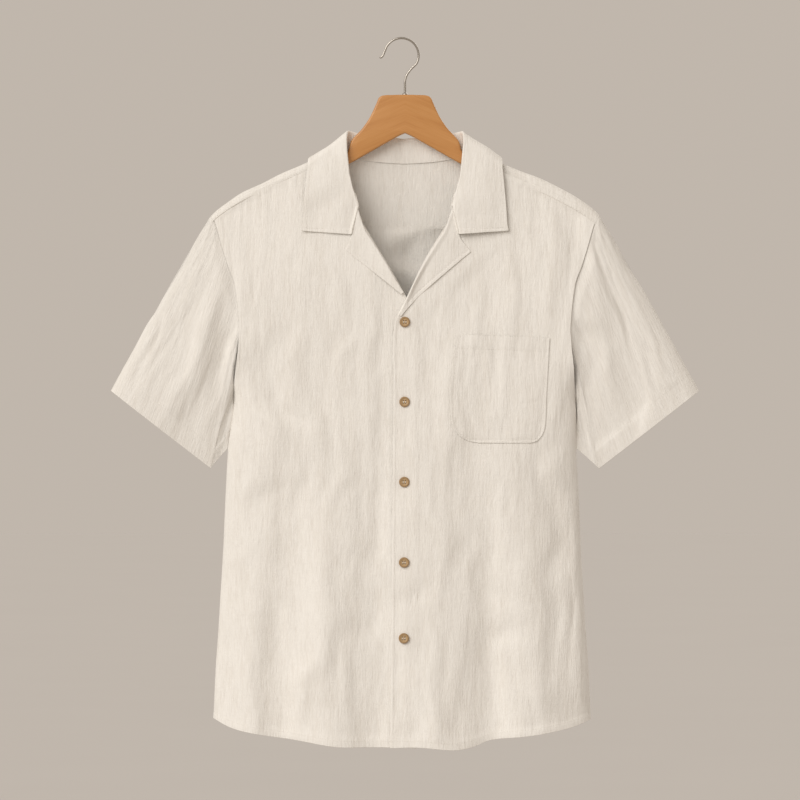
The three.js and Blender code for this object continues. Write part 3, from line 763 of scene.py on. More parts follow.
@dataclass
class Sewn:
    cloth: bpy.types.Object
    stitching: bpy.types.Object | None
    nodes: tuple[str, ...]
    flat: tuple[float, float]
    area: float
    rests_on: tuple[str, ...]

    def dress(self, finish: bpy.types.Material) -> None:
        """Args:
            finish: Material of the cloth and its thread.
        """
        parts = [self.cloth] + ([self.stitching] if self.stitching else [])
        for part in parts:
            part.data.materials.append(finish)
            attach(part, ROOT)
        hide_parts(*self.nodes)
        list(self.rests_on)
        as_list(parts[1:])
        log.info("%s: flat %.0f x %.0f mm, cut area %.3f square metres", self.cloth.name,
                 self.flat[0] / MM, self.flat[1] / MM, self.area)


class ClothPiece:
    """A cut piece of cloth. Its grid and its lines of stitches come from the subclass."""

    name: str
    thickness = CLOTH
    rim = 0.35
    allowance = 10.0
    thread = Thread()

    def grid(self) -> ClothGrid:
        """Outer face of the cloth."""
        raise NotImplementedError

    def lines(self, grid: ClothGrid) -> list[Path]:
        """Lines of stitches on the cloth."""
        return []

    def nodes(self) -> tuple[str, ...]:
        """Model nodes that the cloth stands for."""
        return (self.name,)

    def rests_on(self) -> tuple[str, ...]:
        """Nodes or pieces that hold the cloth."""
        return ("yoke_cloth",)

    def build(self) -> Sewn:
        """Make the cloth and sew its lines.

        Returns:
            The finished piece.
        """
        grid = self.grid()
        cloth = shell(f"{self.name}_cloth", grid, self.thickness, self.rim)
        lines = self.lines(grid)
        stitching = self.thread.sew(f"{self.name}_stitches", lines) if lines else None
        wide, long = (round(size / 5) * 5 * MM for size in grid.flat_size(self.allowance))
        area = min(grid.area() * MM * MM, wide * long)
        return Sewn(cloth, stitching, self.nodes(), (wide, long), area, self.rests_on())


@dataclass(kw_only=True)
class BodyPanel(ClothPiece):
    """A front or the back: gathered into the yoke, joined at its sides and hemmed."""

    relief: Relief
    gathers: tuple[Gather, ...]
    tuck: float = 4.0            # cloth let in under the yoke
    seam_dip: float = 0.55       # how far it sinks there
    seam_calm: float = 12.0      # length over which the crinkle dies out there
    hem_depth: float = 8.5
    hem_rise: float = 0.32
    hem_line: float = 0.6        # from the hem's inner edge to its stitching
    armpit_share: float = 0.55   # of the height, from the hem

    def edge_top(self) -> float:
        """Height at which the armhole meets the yoke seam."""
        return BODY.back_yoke_z - SEAM_GAP

    def outer_edge(self, v: Numbers, hand: Numbers) -> tuple[np.ndarray, np.ndarray]:
        """Side seam up to the armpit, then the armhole.

        Args:
            v: Shares of the height.
            hand: Sign of X of the edge.

        Returns:
            X and Z of the edge.
        """
        low = lerp(BODY.hem_side_z, BODY.armpit_z, v / self.armpit_share)
        high = lerp(BODY.armpit_z, self.edge_top(), (v - self.armpit_share) / (1 - self.armpit_share))
        below = v <= self.armpit_share
        z = np.where(below, low, high)
        return np.where(below, BODY.side_x(z, hand), hand * BODY.armhole(z)), z

    def hem_share(self, v: Numbers) -> np.ndarray:
        """How much a row follows the hem: 1 at the hem, 0 from the armpits up."""
        return (1 - np.clip(v / self.armpit_share, 0, 1)) ** 2

    def tucked(self, v: Numbers) -> np.ndarray:
        """How far a row is pushed up under the yoke."""
        return self.tuck * smooth((v - 0.93) / 0.07)

    def sunk(self, below: np.ndarray) -> np.ndarray:
        """How far the cloth sinks at a distance below the yoke seam."""
        return self.seam_dip * smooth((2.0 - below) / 4.0)

    def part_sides(self, points: np.ndarray, s: np.ndarray, face: Face) -> None:
        """Keep the cloth on its own side of the side seams.

        Args:
            points: Points of the cloth, which are moved.
            s: Shares of the width, up to 1 at a side seam.
            face: Front or back.
        """
        below_armpit = smooth((BODY.armpit_z - points[..., 2]) / 40)
        share = below_armpit * smooth((np.abs(s) - 0.97) / 0.03)
        y = points[..., 1] * face.value
        points[..., 1] = face.value * lerp(y, np.maximum(y, SEAM_GAP / 2), share)

    def crinkle(self, x: np.ndarray, z: np.ndarray, below: np.ndarray, calm: np.ndarray) -> np.ndarray:
        """Crinkle that dies out into the yoke seam, and the gathers held in that seam.

        Args:
            x: Sideways places.
            z: Heights.
            below: Distances below the yoke seam.
            calm: Share of the crinkle that is left for other reasons.

        Returns:
            Heights out of the plain form.
        """
        total = self.relief.height(x, z) * calm * smooth((below + self.tuck) / self.seam_calm)
        for gather in self.gathers:
            total = total + gather.height(x, below)
        return total

    def hem_relief(self, from_hem: np.ndarray, groove: Numbers) -> np.ndarray:
        """Rise of the turned hem and the groove of its stitching."""
        rise = self.hem_rise * smooth((self.hem_depth - from_hem) / 1.2)
        return rise - groove * bell(from_hem - self.hem_depth + self.hem_line, 1.1)

    def lines(self, grid: ClothGrid) -> list[Path]:
        """Hem stitching."""
        return [grid.inset(Edge.FIRST_ROW, self.hem_depth - self.hem_line)]


@dataclass(kw_only=True)
class FrontPanel(BodyPanel):
    """One front. As it stands, it is the one that lies underneath."""

    name: str
    hand: Hand
    inner_x: Curve               # sideways place of the inner edge, by share of the height
    inner_z: Curve
    seam_below: float            # yoke seam below the shoulder ridge
    drop: float                  # how far the inner edge lies under the other front
    buttons: tuple[tuple[float, float], ...] = ()
    overlap_calm: float = 0.2    # share of the crinkle that is left under the other front
    covered: Curve = Curve((-365, -10), (-345, 15), (-272, 92), (-250, 128), (-150, 136))
    edge_dense: tuple[float, float, float] = (0.0, 0.015, 1.0)
    rows: int = 176
    columns: int = 132

    def seam_z(self, x: Numbers) -> np.ndarray:
        """Height of the yoke seam."""
        return BODY.shoulder_z(x) - self.seam_below - SEAM_GAP

    def edge_top(self) -> float:
        """Height at which the armhole meets the yoke seam, found in a few steps."""
        top = -233.0
        for _ in range(6):
            top = float(self.seam_z(BODY.armhole(top)))
        return top

    def grid(self) -> ClothGrid:
        """Outer face of the front, from the hem up and from the inner edge to the outer one.

        Returns:
            The cloth's points.
        """
        hand = self.hand.value
        v = stations(self.rows, (0.0, 0.012, 2.0), (1.0, 0.03, 1.2))[:, None]
        share = stations(self.columns, self.edge_dense, (1.0, 0.03, 1.0))
        s = 1 - (1 - share[None, :]) ** 1.5
        inner_x, inner_z = self.inner_x(v), self.inner_z(v)
        outer_x, outer_z = self.outer_edge(v, hand)
        x = lerp(inner_x, outer_x, s)
        hem = self.hem_share(v) * (BODY.hem(x) - lerp(BODY.hem(inner_x), BODY.hem_side_z, s))
        end_x, end_z = self.outer_edge(1.0, hand)
        top_x, top_z = lerp(self.inner_x(1.0), end_x, s), lerp(self.inner_z(1.0), end_z, s)
        to_seam = smooth((v - 0.8) / 0.2) * (self.seam_z(top_x) - top_z)
        z = lerp(inner_z, outer_z, s) + np.where(v < 0.5, hem, 0.0) + to_seam + self.tucked(v)
        below = self.seam_z(x) - z
        under = self.drop * smooth((x + 48) / 26)
        points = BODY.lifted(x, z, Face.FRONT, -under - self.sunk(below))
        self.part_sides(points, s, Face.FRONT)
        grid = ClothGrid(points, x, z, BODY.outward(x, z, Face.FRONT))
        return grid.lifted(self.height(x, z, below, np.abs(x - inner_x)))

    def calm(self, x: np.ndarray, z: np.ndarray, from_edge: np.ndarray) -> np.ndarray:
        """Share of the crinkle that is left near edges, under the collar and at the buttons.

        Args:
            x: Sideways places.
            z: Heights.
            from_edge: Distances from the inner edge.

        Returns:
            Shares from 0 to 1.
        """
        from_hem = z - BODY.hem(x)
        calm = lerp(0.3, 1.0, smooth(from_edge / 14)) * lerp(0.5, 1.0, smooth(from_hem / 14))
        calm = calm * lerp(0.25, 1.0, smooth((np.abs(x) - self.covered(z)) / 26))
        calm = calm * lerp(1.0, self.overlap_calm, smooth((x + 36) / 18))
        low = smooth((BODY.armpit_z + 12 - z) / 24)
        calm = calm * lerp(1.0, smooth((1 - BODY.side_share(x, z)) / 0.06), low)
        for button_x, button_z in self.buttons:
            calm = calm * (1 - 0.85 * bell(np.hypot(x - button_x, (z - button_z) / 1.5), 18))
        return calm

    def height(self, x: np.ndarray, z: np.ndarray, below: np.ndarray, from_edge: np.ndarray) -> np.ndarray:
        """Crinkle, gathers, hem, inner edge and the dents at the buttons.

        Args:
            x: Sideways places.
            z: Heights.
            below: Distances below the yoke seam.
            from_edge: Distances from the inner edge.

        Returns:
            Heights out of the plain form.
        """
        pucker = Noise(self.relief.seed + 9)
        total = self.crinkle(x, z, below, self.calm(x, z, from_edge))
        total = total + self.hem_relief(z - BODY.hem(x), 0.22 + 0.2 * pucker(x / 4.0, z / 30))
        total = total + self.band_relief(x, z, from_edge, pucker)
        for button_x, button_z in self.buttons:
            dent = 0.55 * bell(np.hypot(x - button_x, z - button_z), 6.5)
            total = total - dent + 0.3 * bell(z - button_z, 3.2) * bell(x - button_x - 13, 8)
        return total

    def band_relief(self, x: np.ndarray, z: np.ndarray, from_edge: np.ndarray, pucker: Noise) -> Numbers:
        """Height of the inner edge, which is plain here because the other front covers it."""
        return 0.0


@dataclass
class PlacketStitch:
    """The line of stitches that holds the button band."""

    x: float = 16.9
    top_z: float = -352.0
    bottom_z: float = -879.0

    def on(self, grid: ClothGrid) -> Path:
        """Find the line on a front.

        Args:
            grid: The front's outer face.

        Returns:
            The path from the hem up to the roll of the lapel.
        """
        points, out = [], []
        for row, normal in zip(grid.points, grid.out):
            if row[0, 0] < self.x < row[-1, 0] and self.bottom_z < row[0, 2] < self.top_z:
                k = int(np.searchsorted(row[:, 0], self.x)) - 1
                t = (self.x - row[k, 0]) / (row[k + 1, 0] - row[k, 0])
                points.append(lerp(row[k], row[k + 1], t))
                out.append(lerp(normal[k], normal[k + 1], t))
        return Path(np.array(points), unit(np.array(out)))


@dataclass(kw_only=True)
class TopFront(FrontPanel):
    """The front that carries the buttonholes, with its band stitched down."""

    band: PlacketStitch = field(default_factory=PlacketStitch)
    band_rise: float = 0.5
    roll_z: float = -330.0       # where the band turns into the lapel
    overlap_calm: float = 1.0
    edge_dense: tuple[float, float, float] = (0.0, 0.03, 1.4)

    def band_relief(self, x: np.ndarray, z: np.ndarray, from_edge: np.ndarray, pucker: Noise) -> Numbers:
        """Raised button band with its rolled edge and puckered stitching.

        Args:
            x: Sideways places.
            z: Heights.
            from_edge: Distances from the inner edge.
            pucker: Noise of the stitching.

        Returns:
            Heights to add.
        """
        band = self.band_rise * smooth(self.band.x - x) + 0.75 * bell(from_edge - 1.6, 1.8)
        groove = bell(x - self.band.x, 1.2) * (0.15 + 0.2 * pucker(x / 30, z / 5.0))
        return (band - groove) * smooth((self.roll_z - z) / 10)

    def lines(self, grid: ClothGrid) -> list[Path]:
        """Hem, band and front edge stitching."""
        edge = grid.inset(Edge.FIRST_COLUMN, 3.0, 0.0, 0.45)
        return super().lines(grid) + [self.band.on(grid), edge]


@dataclass(kw_only=True)
class BackPanel(BodyPanel):
    """The back, gathered into the middle of the yoke."""

    name: str = "back"
    rows: int = 140
    columns: int = 176

    def grid(self) -> ClothGrid:
        """Outer face of the back, from the hem up and from side to side.

        Returns:
            The cloth's points.
        """
        v = stations(self.rows, (0.0, 0.012, 2.0), (1.0, 0.02, 1.0))[:, None]
        t = 2 * stations(self.columns, (0.0, 0.02, 1.0), (1.0, 0.02, 1.0))[None, :] - 1
        s = np.sign(t) * (1 - (1 - np.abs(t)) ** 1.3)
        edge_x, edge_z = self.outer_edge(v, np.where(t < 0, -1, 1))
        x = s * np.abs(edge_x)
        z = edge_z + self.hem_share(v) * (BODY.hem(x) - BODY.hem_side_z) + self.tucked(v)
        below = self.edge_top() - z
        points = BODY.lifted(x, z, Face.BACK, -self.sunk(below))
        self.part_sides(points, s, Face.BACK)
        grid = ClothGrid(points, x, z, BODY.outward(x, z, Face.BACK))
        calm = smooth((1 - np.abs(s)) / 0.06)
        return grid.lifted(self.crinkle(x, z, below, calm) + self.hem_relief(z - BODY.hem(x), 0.3))


@dataclass
class Yoke(ClothPiece):
    """A doubled yoke over both shoulders, with the back of the neck cut out of it."""

    relief: Relief
    name: str = "yoke"
    thickness: float = 1.7
    rim: float = 0.1
    neck_front_x: float = 83.0
    neck_seam: Curve = Curve((0, -57), (30, -41.8), (45, -33.5), (66, -20), (76, -11), (80, 0),
                             (81.5, 8), (83, 18))
    right_below: float = 16.0    # front seam below the ridge, on the right
    left_below: float = 10.0
    ridge_rows: tuple[float, ...] = (-8.4, -4.2, 0.0, 4.2, 8.4)
    close_run: float = -18.0     # from here to the front seam the rows are close
    seam_lines: tuple[float, ...] = (1.6, 7.0)
    inside_lines: tuple[float, ...] = (1.6, 5.2)

    def rests_on(self) -> tuple[str, ...]:
        """The hanger holds the yoke."""
        return ("hanger_board",)

    def runs(self, x: np.ndarray, hand: np.ndarray, q: np.ndarray) -> np.ndarray:
        """Cloth length from the ridge.

        Args:
            x: Distance from the middle.
            hand: Sign of X.
            q: Row, from 0 at the back seam to 10 at the front one.

        Returns:
            Signed length, positive to the front.
        """
        back = -BODY.run_at(x, BODY.back_yoke_z)
        below = np.where(hand > 0, self.right_below, self.left_below)
        front = BODY.run_at(x, BODY.shoulder_z(x) - below)
        turn = BODY.half_turn
        knots = [back, lerp(back, self.close_run, 0.5), self.close_run, -turn, *self.ridge_rows, turn, front]
        knots = np.stack([np.broadcast_to(knot, back.shape) for knot in knots])
        k = np.clip(np.floor(q).astype(int), 0, len(knots) - 2)
        low, high = (np.take_along_axis(knots, place[None], 0)[0] for place in (k, k + 1))
        run = lerp(low, high, q - k)
        squeeze = (self.neck_seam(x) - back) / (front - back)
        return np.where(x < self.neck_front_x, back + (run - back) * squeeze, run)

    def grid(self) -> ClothGrid:
        """Outer face of the yoke, from the back seam over the ridge and from side to side.

        Returns:
            The cloth's points.
        """
        half = np.concatenate([np.linspace(0, 73, 24), np.linspace(74, 85, 16),
                               np.linspace(87.5, BODY.tip_x, 66)])
        signed = np.concatenate([-half[:0:-1], half])
        stretches = ((0, 1, 18), (1, 2, 14), (2, 9, 22), (9, 10, 5))
        q = np.concatenate([np.linspace(*stretch)[min(k, 1):] for k, stretch in enumerate(stretches)])
        x, q = np.broadcast_arrays(np.abs(signed)[None, :], q[:, None])
        hand = np.broadcast_to(np.where(signed < 0, -1, 1)[None, :], x.shape)
        shift = np.zeros(x.shape)
        for _ in range(6):
            z = BODY.over_ridge(x + shift, self.runs(x + shift, hand, q))[..., 2]
            edge = BODY.armhole(np.minimum(z, BODY.ridge_z))
            shift = (edge - BODY.tip_x) * smooth((x - 130) / (BODY.tip_x - 130))
        run = self.runs(x + shift, hand, q)
        mirror = stack(hand, 1.0, 1.0)
        points = BODY.over_ridge(x + shift, run) * mirror
        grid = ClothGrid(points, x * hand, run, BODY.over_ridge_out(x + shift, run) * mirror)
        crinkle = self.relief.height(run + 300, x * hand) * (0.25 + 0.6 * smooth((x - 84) / 14))
        return grid.lifted(crinkle + 0.1 * smooth((3.5 - self.edge_distance(q, x, run)) / 1.5))

    def edge_distance(self, q: np.ndarray, x: np.ndarray, run: np.ndarray) -> np.ndarray:
        """Rough distance from the seams in front and behind.

        Args:
            q: Rows.
            x: Distances from the middle.
            run: Cloth lengths from the ridge.

        Returns:
            Distances, large away from both seams.
        """
        far, row_step = 99.0, 5.0
        back = np.where(q < 1.0, run + BODY.run_at(x, BODY.back_yoke_z), far)
        front = np.where((q > 9) & (x > self.neck_front_x), (10 - q) * row_step, far)
        return np.minimum(np.abs(back), front)

    def lines(self, grid: ClothGrid) -> list[Path]:
        """Two lines of stitches along each yoke seam, and two more on the inside of the back one.

        Args:
            grid: Outer face of the yoke.

        Returns:
            The lines.
        """
        paths = []
        for distance in self.seam_lines:
            paths.append(grid.inset(Edge.FIRST_ROW, distance, 0.01, 0.99))
            paths.append(grid.inset(Edge.LAST_ROW, distance, 0.0, 0.31))
            paths.append(grid.inset(Edge.LAST_ROW, distance, 0.69, 1.0))
        for distance in self.inside_lines:
            line = grid.inset(Edge.FIRST_ROW, distance, 0.3, 0.7)
            paths.append(Path(line.points - line.out * self.thickness, -line.out))
        return paths


@dataclass
class Sleeve(ClothPiece):
    """A short sleeve that hangs flat, its lower edge folded forward, with a stitched band."""

    name: str
    hand: Hand
    relief: Relief
    beside: Relief = Relief(1)   # of the front that it is sewn to
    folds: tuple[Crease, ...] = ()
    outer: tuple[float, float] = (368.0, -441.0)
    lower: tuple[float, float] = (243.0, -538.0)
    inner_z: float = -513.0
    inner_share: float = 0.12    # how far forward the inner end of the cuff stays
    half: float = 19.0           # half depth of the cuff
    lower_share: float = 0.8     # of the front's columns, up to the lower corner
    bow: float = 1.6             # of the shoulder line
    band: float = 25.0           # depth of the cuff's hem
    tuck_z: float = -370.0       # from here down the ring goes in behind the front's edge
    tuck_in: float = 3.5
    body_gap: float = 0.8        # between the sleeve and the side of the body
    rows: int = 84
    columns: int = 212
    front_count: int = 16
    ring_count: int = 28
    armhole_run: Curve = Curve((0, 0), (3, 13.04), (4, 21.7), (5, 28.7), (6, 38.5), (7, 55.3), (8, 69.7),
                               (9, 83.7), (10, 105.7), (11, 127.3), (12, 146.5), (13, 165.7),
                               (14, 189.7), (15, 213.7), (16, 237.7))
    back_run: Curve = Curve((16, 237.7), (17, 208.7), (18, 174.7), (19, 136.1), (20, 97.4), (21, 58.7),
                            (22, 39.4), (23, 20), (24, 17), (25, 13.04), (26, 8.4), (27, 4.2), (28, 0))

    def start(self, q: np.ndarray) -> np.ndarray:
        """Armhole ring.

        Args:
            q: Place round the ring, from the shoulder down the front and up the back.

        Returns:
            Points on the body's face.
        """
        front = q <= self.front_count
        run = np.where(front, self.armhole_run(q), self.back_run(q))
        turn, r = BODY.half_turn, BODY.ridge_r
        angle = np.minimum(run, turn) / r
        drop = np.where(run < turn, r * (1 - np.cos(angle)), run - turn + r)
        z = BODY.ridge_z - SEAM_GAP - drop
        x = BODY.armhole(np.minimum(z, BODY.ridge_z))
        half = np.where(run < turn, r * np.sin(angle), BODY.depth(drop) * BODY.closing(x, z))
        tucked = smooth((self.tuck_z - z) / 45)
        y = np.where(front, -half * (1 - 0.5 * tucked), half)
        return stack(x - self.tuck_in * tucked, y, z)

    def cuff(self, q: np.ndarray) -> np.ndarray:
        """Cuff ring: the front from the outer corner to the lower one, a short inner edge, the back.

        Args:
            q: Place round the ring, as for the armhole.

        Returns:
            Points of the cuff.
        """
        side_x = abs(float(BODY.side_x(self.inner_z, self.hand.value)))
        inner = (side_x + self.body_gap, self.inner_z)

        def line(first: tuple[float, float], last: tuple[float, float], share: np.ndarray,
                 y: np.ndarray) -> np.ndarray:
            """Points at shares of the way between two corners."""
            return stack(lerp(first[0], last[0], share), y, lerp(first[1], last[1], share))

        f = np.clip(q / self.front_count, 0, 1)
        g = np.clip(f / self.lower_share, 0, 1)
        front = line(self.outer, self.lower, g,
                     -self.half * np.sqrt(1 - (1 - g) ** 4) * (1 - 0.7 * g ** 1.8))
        g = np.clip((f - self.lower_share) / (1 - self.lower_share), 0, 1)
        fold = line(self.lower, inner, g, -self.half * lerp(0.3, self.inner_share, g))
        g = np.clip((q - self.front_count) / (self.ring_count - self.front_count), 0, 1)
        depth = np.sqrt(1 - np.abs(2 * g - 1) ** 3) - self.inner_share * (1 - smooth(g / 0.2))
        back = line(inner, self.outer, g, self.half * depth)
        front = np.where((f <= self.lower_share)[..., None], front, fold)
        return np.where((q <= self.front_count)[..., None], front, back)

    def grid(self) -> ClothGrid:
        """Outer face of the sleeve, in rings from the armhole (t = 0) to the cuff (t = 1).

        Returns:
            The cloth's points.
        """
        hand = self.hand.value
        turn = self.front_count / self.ring_count
        corner = self.lower_share * turn
        q = stations(self.columns, (0.0, 0.04, 1.5), (1.0, 0.03, 1.5), (corner, 0.02, 1.0),
                     (turn, 0.03, 1.0))[:-1] * self.ring_count
        t = stations(self.rows, (0.0, 0.03, 2.0), (1.0, 0.04, 1.0))
        q, t = np.broadcast_arrays(q[None, :], t[:, None])
        start, cuff = self.start(q), self.cuff(q)
        length = np.linalg.norm(cuff - start, axis=-1)
        from_start, to_cuff = length * t, length * (1 - t)
        from_ridge = np.minimum(q, self.ring_count - q)
        points = lerp(start, cuff, t[..., None])
        bow = self.bow * np.sin(math.pi * t) * np.clip(1 - from_ridge / 4, 0, 1)
        points += stack(SEAM_GAP + 0.85 * bow, 0.0, 0.5 * bow)
        low = np.minimum(points[..., 2], BODY.armpit_z)
        above = np.clip(points[..., 2] - BODY.armpit_z - 6, 0, None)
        under = np.abs(BODY.side_x(low, hand)) + self.body_gap - 0.15 * above
        points[..., 0] = lerp(points[..., 0], np.maximum(points[..., 0], under), smooth(t / 0.2))
        loose = smooth((self.armhole_run(q) - 140) / 30) * smooth((self.ring_count - q) / 4)
        near, tuck = smooth((1.3 - from_start) / 1.3), smooth((3.0 - from_start) / 3.0)
        points[..., 0] = hand * (points[..., 0] - lerp(1.6 * near, 3.0 * tuck, loose))
        away = (points - points.mean(axis=1, keepdims=True)) * np.array([1.0, 6.0, 1.0])
        grid = ClothGrid(points, q * 18, to_cuff, away, closed=True)
        x, z = points[..., 0], points[..., 2]
        front = smooth(q / 2) * smooth((self.front_count - 1 - q) / 1.5)
        height = self.relief.height(grid.across, grid.along)
        for fold in self.folds:
            height = height + fold.height(x, z) * front
        height = height * lerp(0.3, 1.0, smooth(from_ridge / 3))
        height = lerp(self.beside.height(x, z) * front * (1 - loose), height, smooth(from_start / 24))
        calm = lerp(0.45, 1.0, smooth((to_cuff - self.band + 6) / 12))
        line = 0.35 * bell(to_cuff - self.band, 1.2) - 0.3 * smooth((self.band - to_cuff) / 1.5)
        return grid.lifted(height * calm - line - 0.3 * loose - lerp(1.0 * near, 0.7 * tuck, loose))

    def lines(self, grid: ClothGrid) -> list[Path]:
        """Stitching of the cuff band."""
        return [grid.inset(Edge.LAST_ROW, self.band)]


@dataclass(frozen=True)
class CollarRow:
    """One section of the collar: its neck seam, the top of its fold and its leaf's edge."""

    neck_x: float
    neck_run: float
    fold_x: float
    fold_y: float
    fold_z: float
    edge_x: float
    edge_run: float


@dataclass
class Collar(ClothPiece):
    """A camp collar: it stands up from the neck seam and folds over to its leaf."""

    relief: Relief
    name: str = "collar"
    thickness: float = DOUBLED
    outer_lift: float = 1.5      # outer face over the face that the rows describe
    leaf_lift: float = 2.5
    bulge: float = 1.2
    sections: tuple[CollarRow, ...] = each(
        CollarRow,
        (0, -59.5, 0, 11, -125, 0, -84),
        (30, -44.2, 30, 10.8, -123, 36, -68),
        (57.5, -28, 55, 10, -119.5, 72, -49),
        (71.8, -13.5, 68, 7, -116.5, 99, -30),
        (77.3, 0, 72, 0.5, -116, 115, -10),
        (78.6, 14, 74, -7.5, -122, 120.5, 7),
        (76.6, 34, 73.5, -13.5, -141, 123, 28),
        (70, 60, 70.5, -17, -170, 125, 49),
        (62, 78, 65, -20, -194, 126.5, 66),
        (58.5, 89, 60.5, -20.6, -209, 127.3, 79),
        (66.5, 118.5, 69, -23, -245, 129, 88),
    )
    sunk: Curve = Curve((6, 1.0), (7, 0.6), (8, 0.0))   # how much of the sunk seam is left, by section
    sunk_lift: float = -1.2
    stitch: float = 4.6          # from the leaf's edge
    fold_share: float = 0.4      # of the columns, up to the fold
    rows: int = 118
    columns: int = 46

    def rests_on(self) -> tuple[str, ...]:
        """The yoke holds the collar."""
        return ("yoke_cloth",)

    def size(self, field_name: str, at: np.ndarray) -> np.ndarray:
        """Read a size of the sections, smooth up to the gorge and straight along it.

        Args:
            field_name: Name of the size.
            at: Places along the collar, in rows.

        Returns:
            The size at each place.
        """
        values = [getattr(row, field_name) for row in self.sections]
        gorge = len(values) - 2
        smooth_part = Curve(*enumerate(values[:-1]))(at)
        straight = lerp(values[gorge], values[gorge + 1], at - gorge)
        return np.where(at > gorge, straight, smooth_part)

    def half(self, at: np.ndarray, t: np.ndarray) -> tuple[np.ndarray, np.ndarray]:
        """Right half of the collar.

        Args:
            at: Sections, counted in rows from the middle of the back.
            t: Places from the neck seam (0) over the fold (0.4) to the leaf's edge (1).

        Returns:
            Points and ways out of the cloth, sections by places.
        """
        get = {name: self.size(name, at) for name in CollarRow.__dataclass_fields__}
        neck_lift = lerp(self.leaf_lift, self.sunk_lift, self.sunk(at))
        neck = BODY.over_ridge(get["neck_x"], get["neck_run"], neck_lift)
        fold = stack(get["fold_x"], get["fold_y"], get["fold_z"])
        neck = lerp(neck, fold, -0.03 * self.sunk(at)[:, None])
        edge = BODY.over_ridge(get["edge_x"], get["edge_run"], self.leaf_lift)
        bulge = BODY.over_ridge_out(get["edge_x"], get["edge_run"]) * self.bulge

        def leaf_at(share: float) -> np.ndarray:
            """A line of the leaf at a share of its way from the fold."""
            return lerp(fold, edge, share) + bulge * math.sin(math.pi * share ** 0.7)

        keys = [neck, lerp(neck, fold, 0.6), fold, leaf_at(0.12), leaf_at(0.5), edge]
        points = np.zeros((len(at), len(t), 3))
        for row in range(len(at)):
            for axis in range(3):
                knots = ((k / 5, float(key[row, axis])) for k, key in enumerate(keys))
                points[row, :, axis] = Curve(*knots)(t)
        leaf = np.clip((t[None, :] - self.fold_share) / 0.2, -1, 1)[..., None]
        over_out = BODY.over_ridge_out(get["edge_x"], get["edge_run"])[:, None, :]
        inwards = stack(-get["neck_x"], -fold[:, 1], 0.0)[:, None, :]
        away = np.where(leaf > 0, over_out * leaf, unit(inwards) * -leaf) + np.array([0.0, 0.0, 0.4])
        return points, away

    def grid(self) -> ClothGrid:
        """Outer face of the collar, from end to end and from the neck seam to the leaf's edge.

        Returns:
            The cloth's points.
        """
        at = stations(self.rows, (0.42, 0.12, 1.2), (1.0, 0.03, 1.0)) * (len(self.sections) - 1)
        t = stations(self.columns, (0.42, 0.1, 2.0), (1.0, 0.02, 1.0))
        points, away = self.half(at, t)
        mirror = np.array([-1.0, 1.0, 1.0])
        points, away = (np.concatenate([half[:0:-1] * mirror, half]) for half in (points, away))
        leaf_column = -8
        step = np.linalg.norm(np.diff(points[:, leaf_column], axis=0), axis=1)
        along = np.concatenate([[0.0], np.cumsum(step)])[:, None]
        width = np.linalg.norm(np.diff(points, axis=1), axis=2)
        across = np.concatenate([np.zeros((len(points), 1)), np.cumsum(width, axis=1)], axis=1)
        grid = ClothGrid(points, points[..., 0], points[..., 2], away)
        from_end = np.minimum(along, along[-1] - along)
        from_edge = np.minimum(across[:, -1:] - across, from_end)
        rise = 0.35 * smooth(self.stitch - 0.4 - from_edge) - 0.3 * bell(from_edge - self.stitch, 1.0)
        calm = smooth((t[None, :] - 0.3) / 0.2)
        wrinkles = Noise(self.relief.seed + 7)(along / 7.5 + 30, across / 45)
        stand = 0.7 * wrinkles * smooth(across / 7) * (1 - calm)
        leaf = calm * (self.relief.height(grid.across, grid.along) + rise)
        return grid.lifted(self.outer_lift + leaf + stand)

    def lines(self, grid: ClothGrid) -> list[Path]:
        """Stitching round the leaf."""
        ends = [grid.inset(edge, self.stitch, 0.5, 0.97) for edge in (Edge.FIRST_ROW, Edge.LAST_ROW)]
        return [grid.inset(Edge.LAST_COLUMN, self.stitch, 0.02, 0.98)] + ends


@dataclass(frozen=True)
class LapelRow:
    """A section of a lapel: its roll line and its outer edge."""

    roll_x: float
    roll_z: float
    out_x: float
    out_z: float


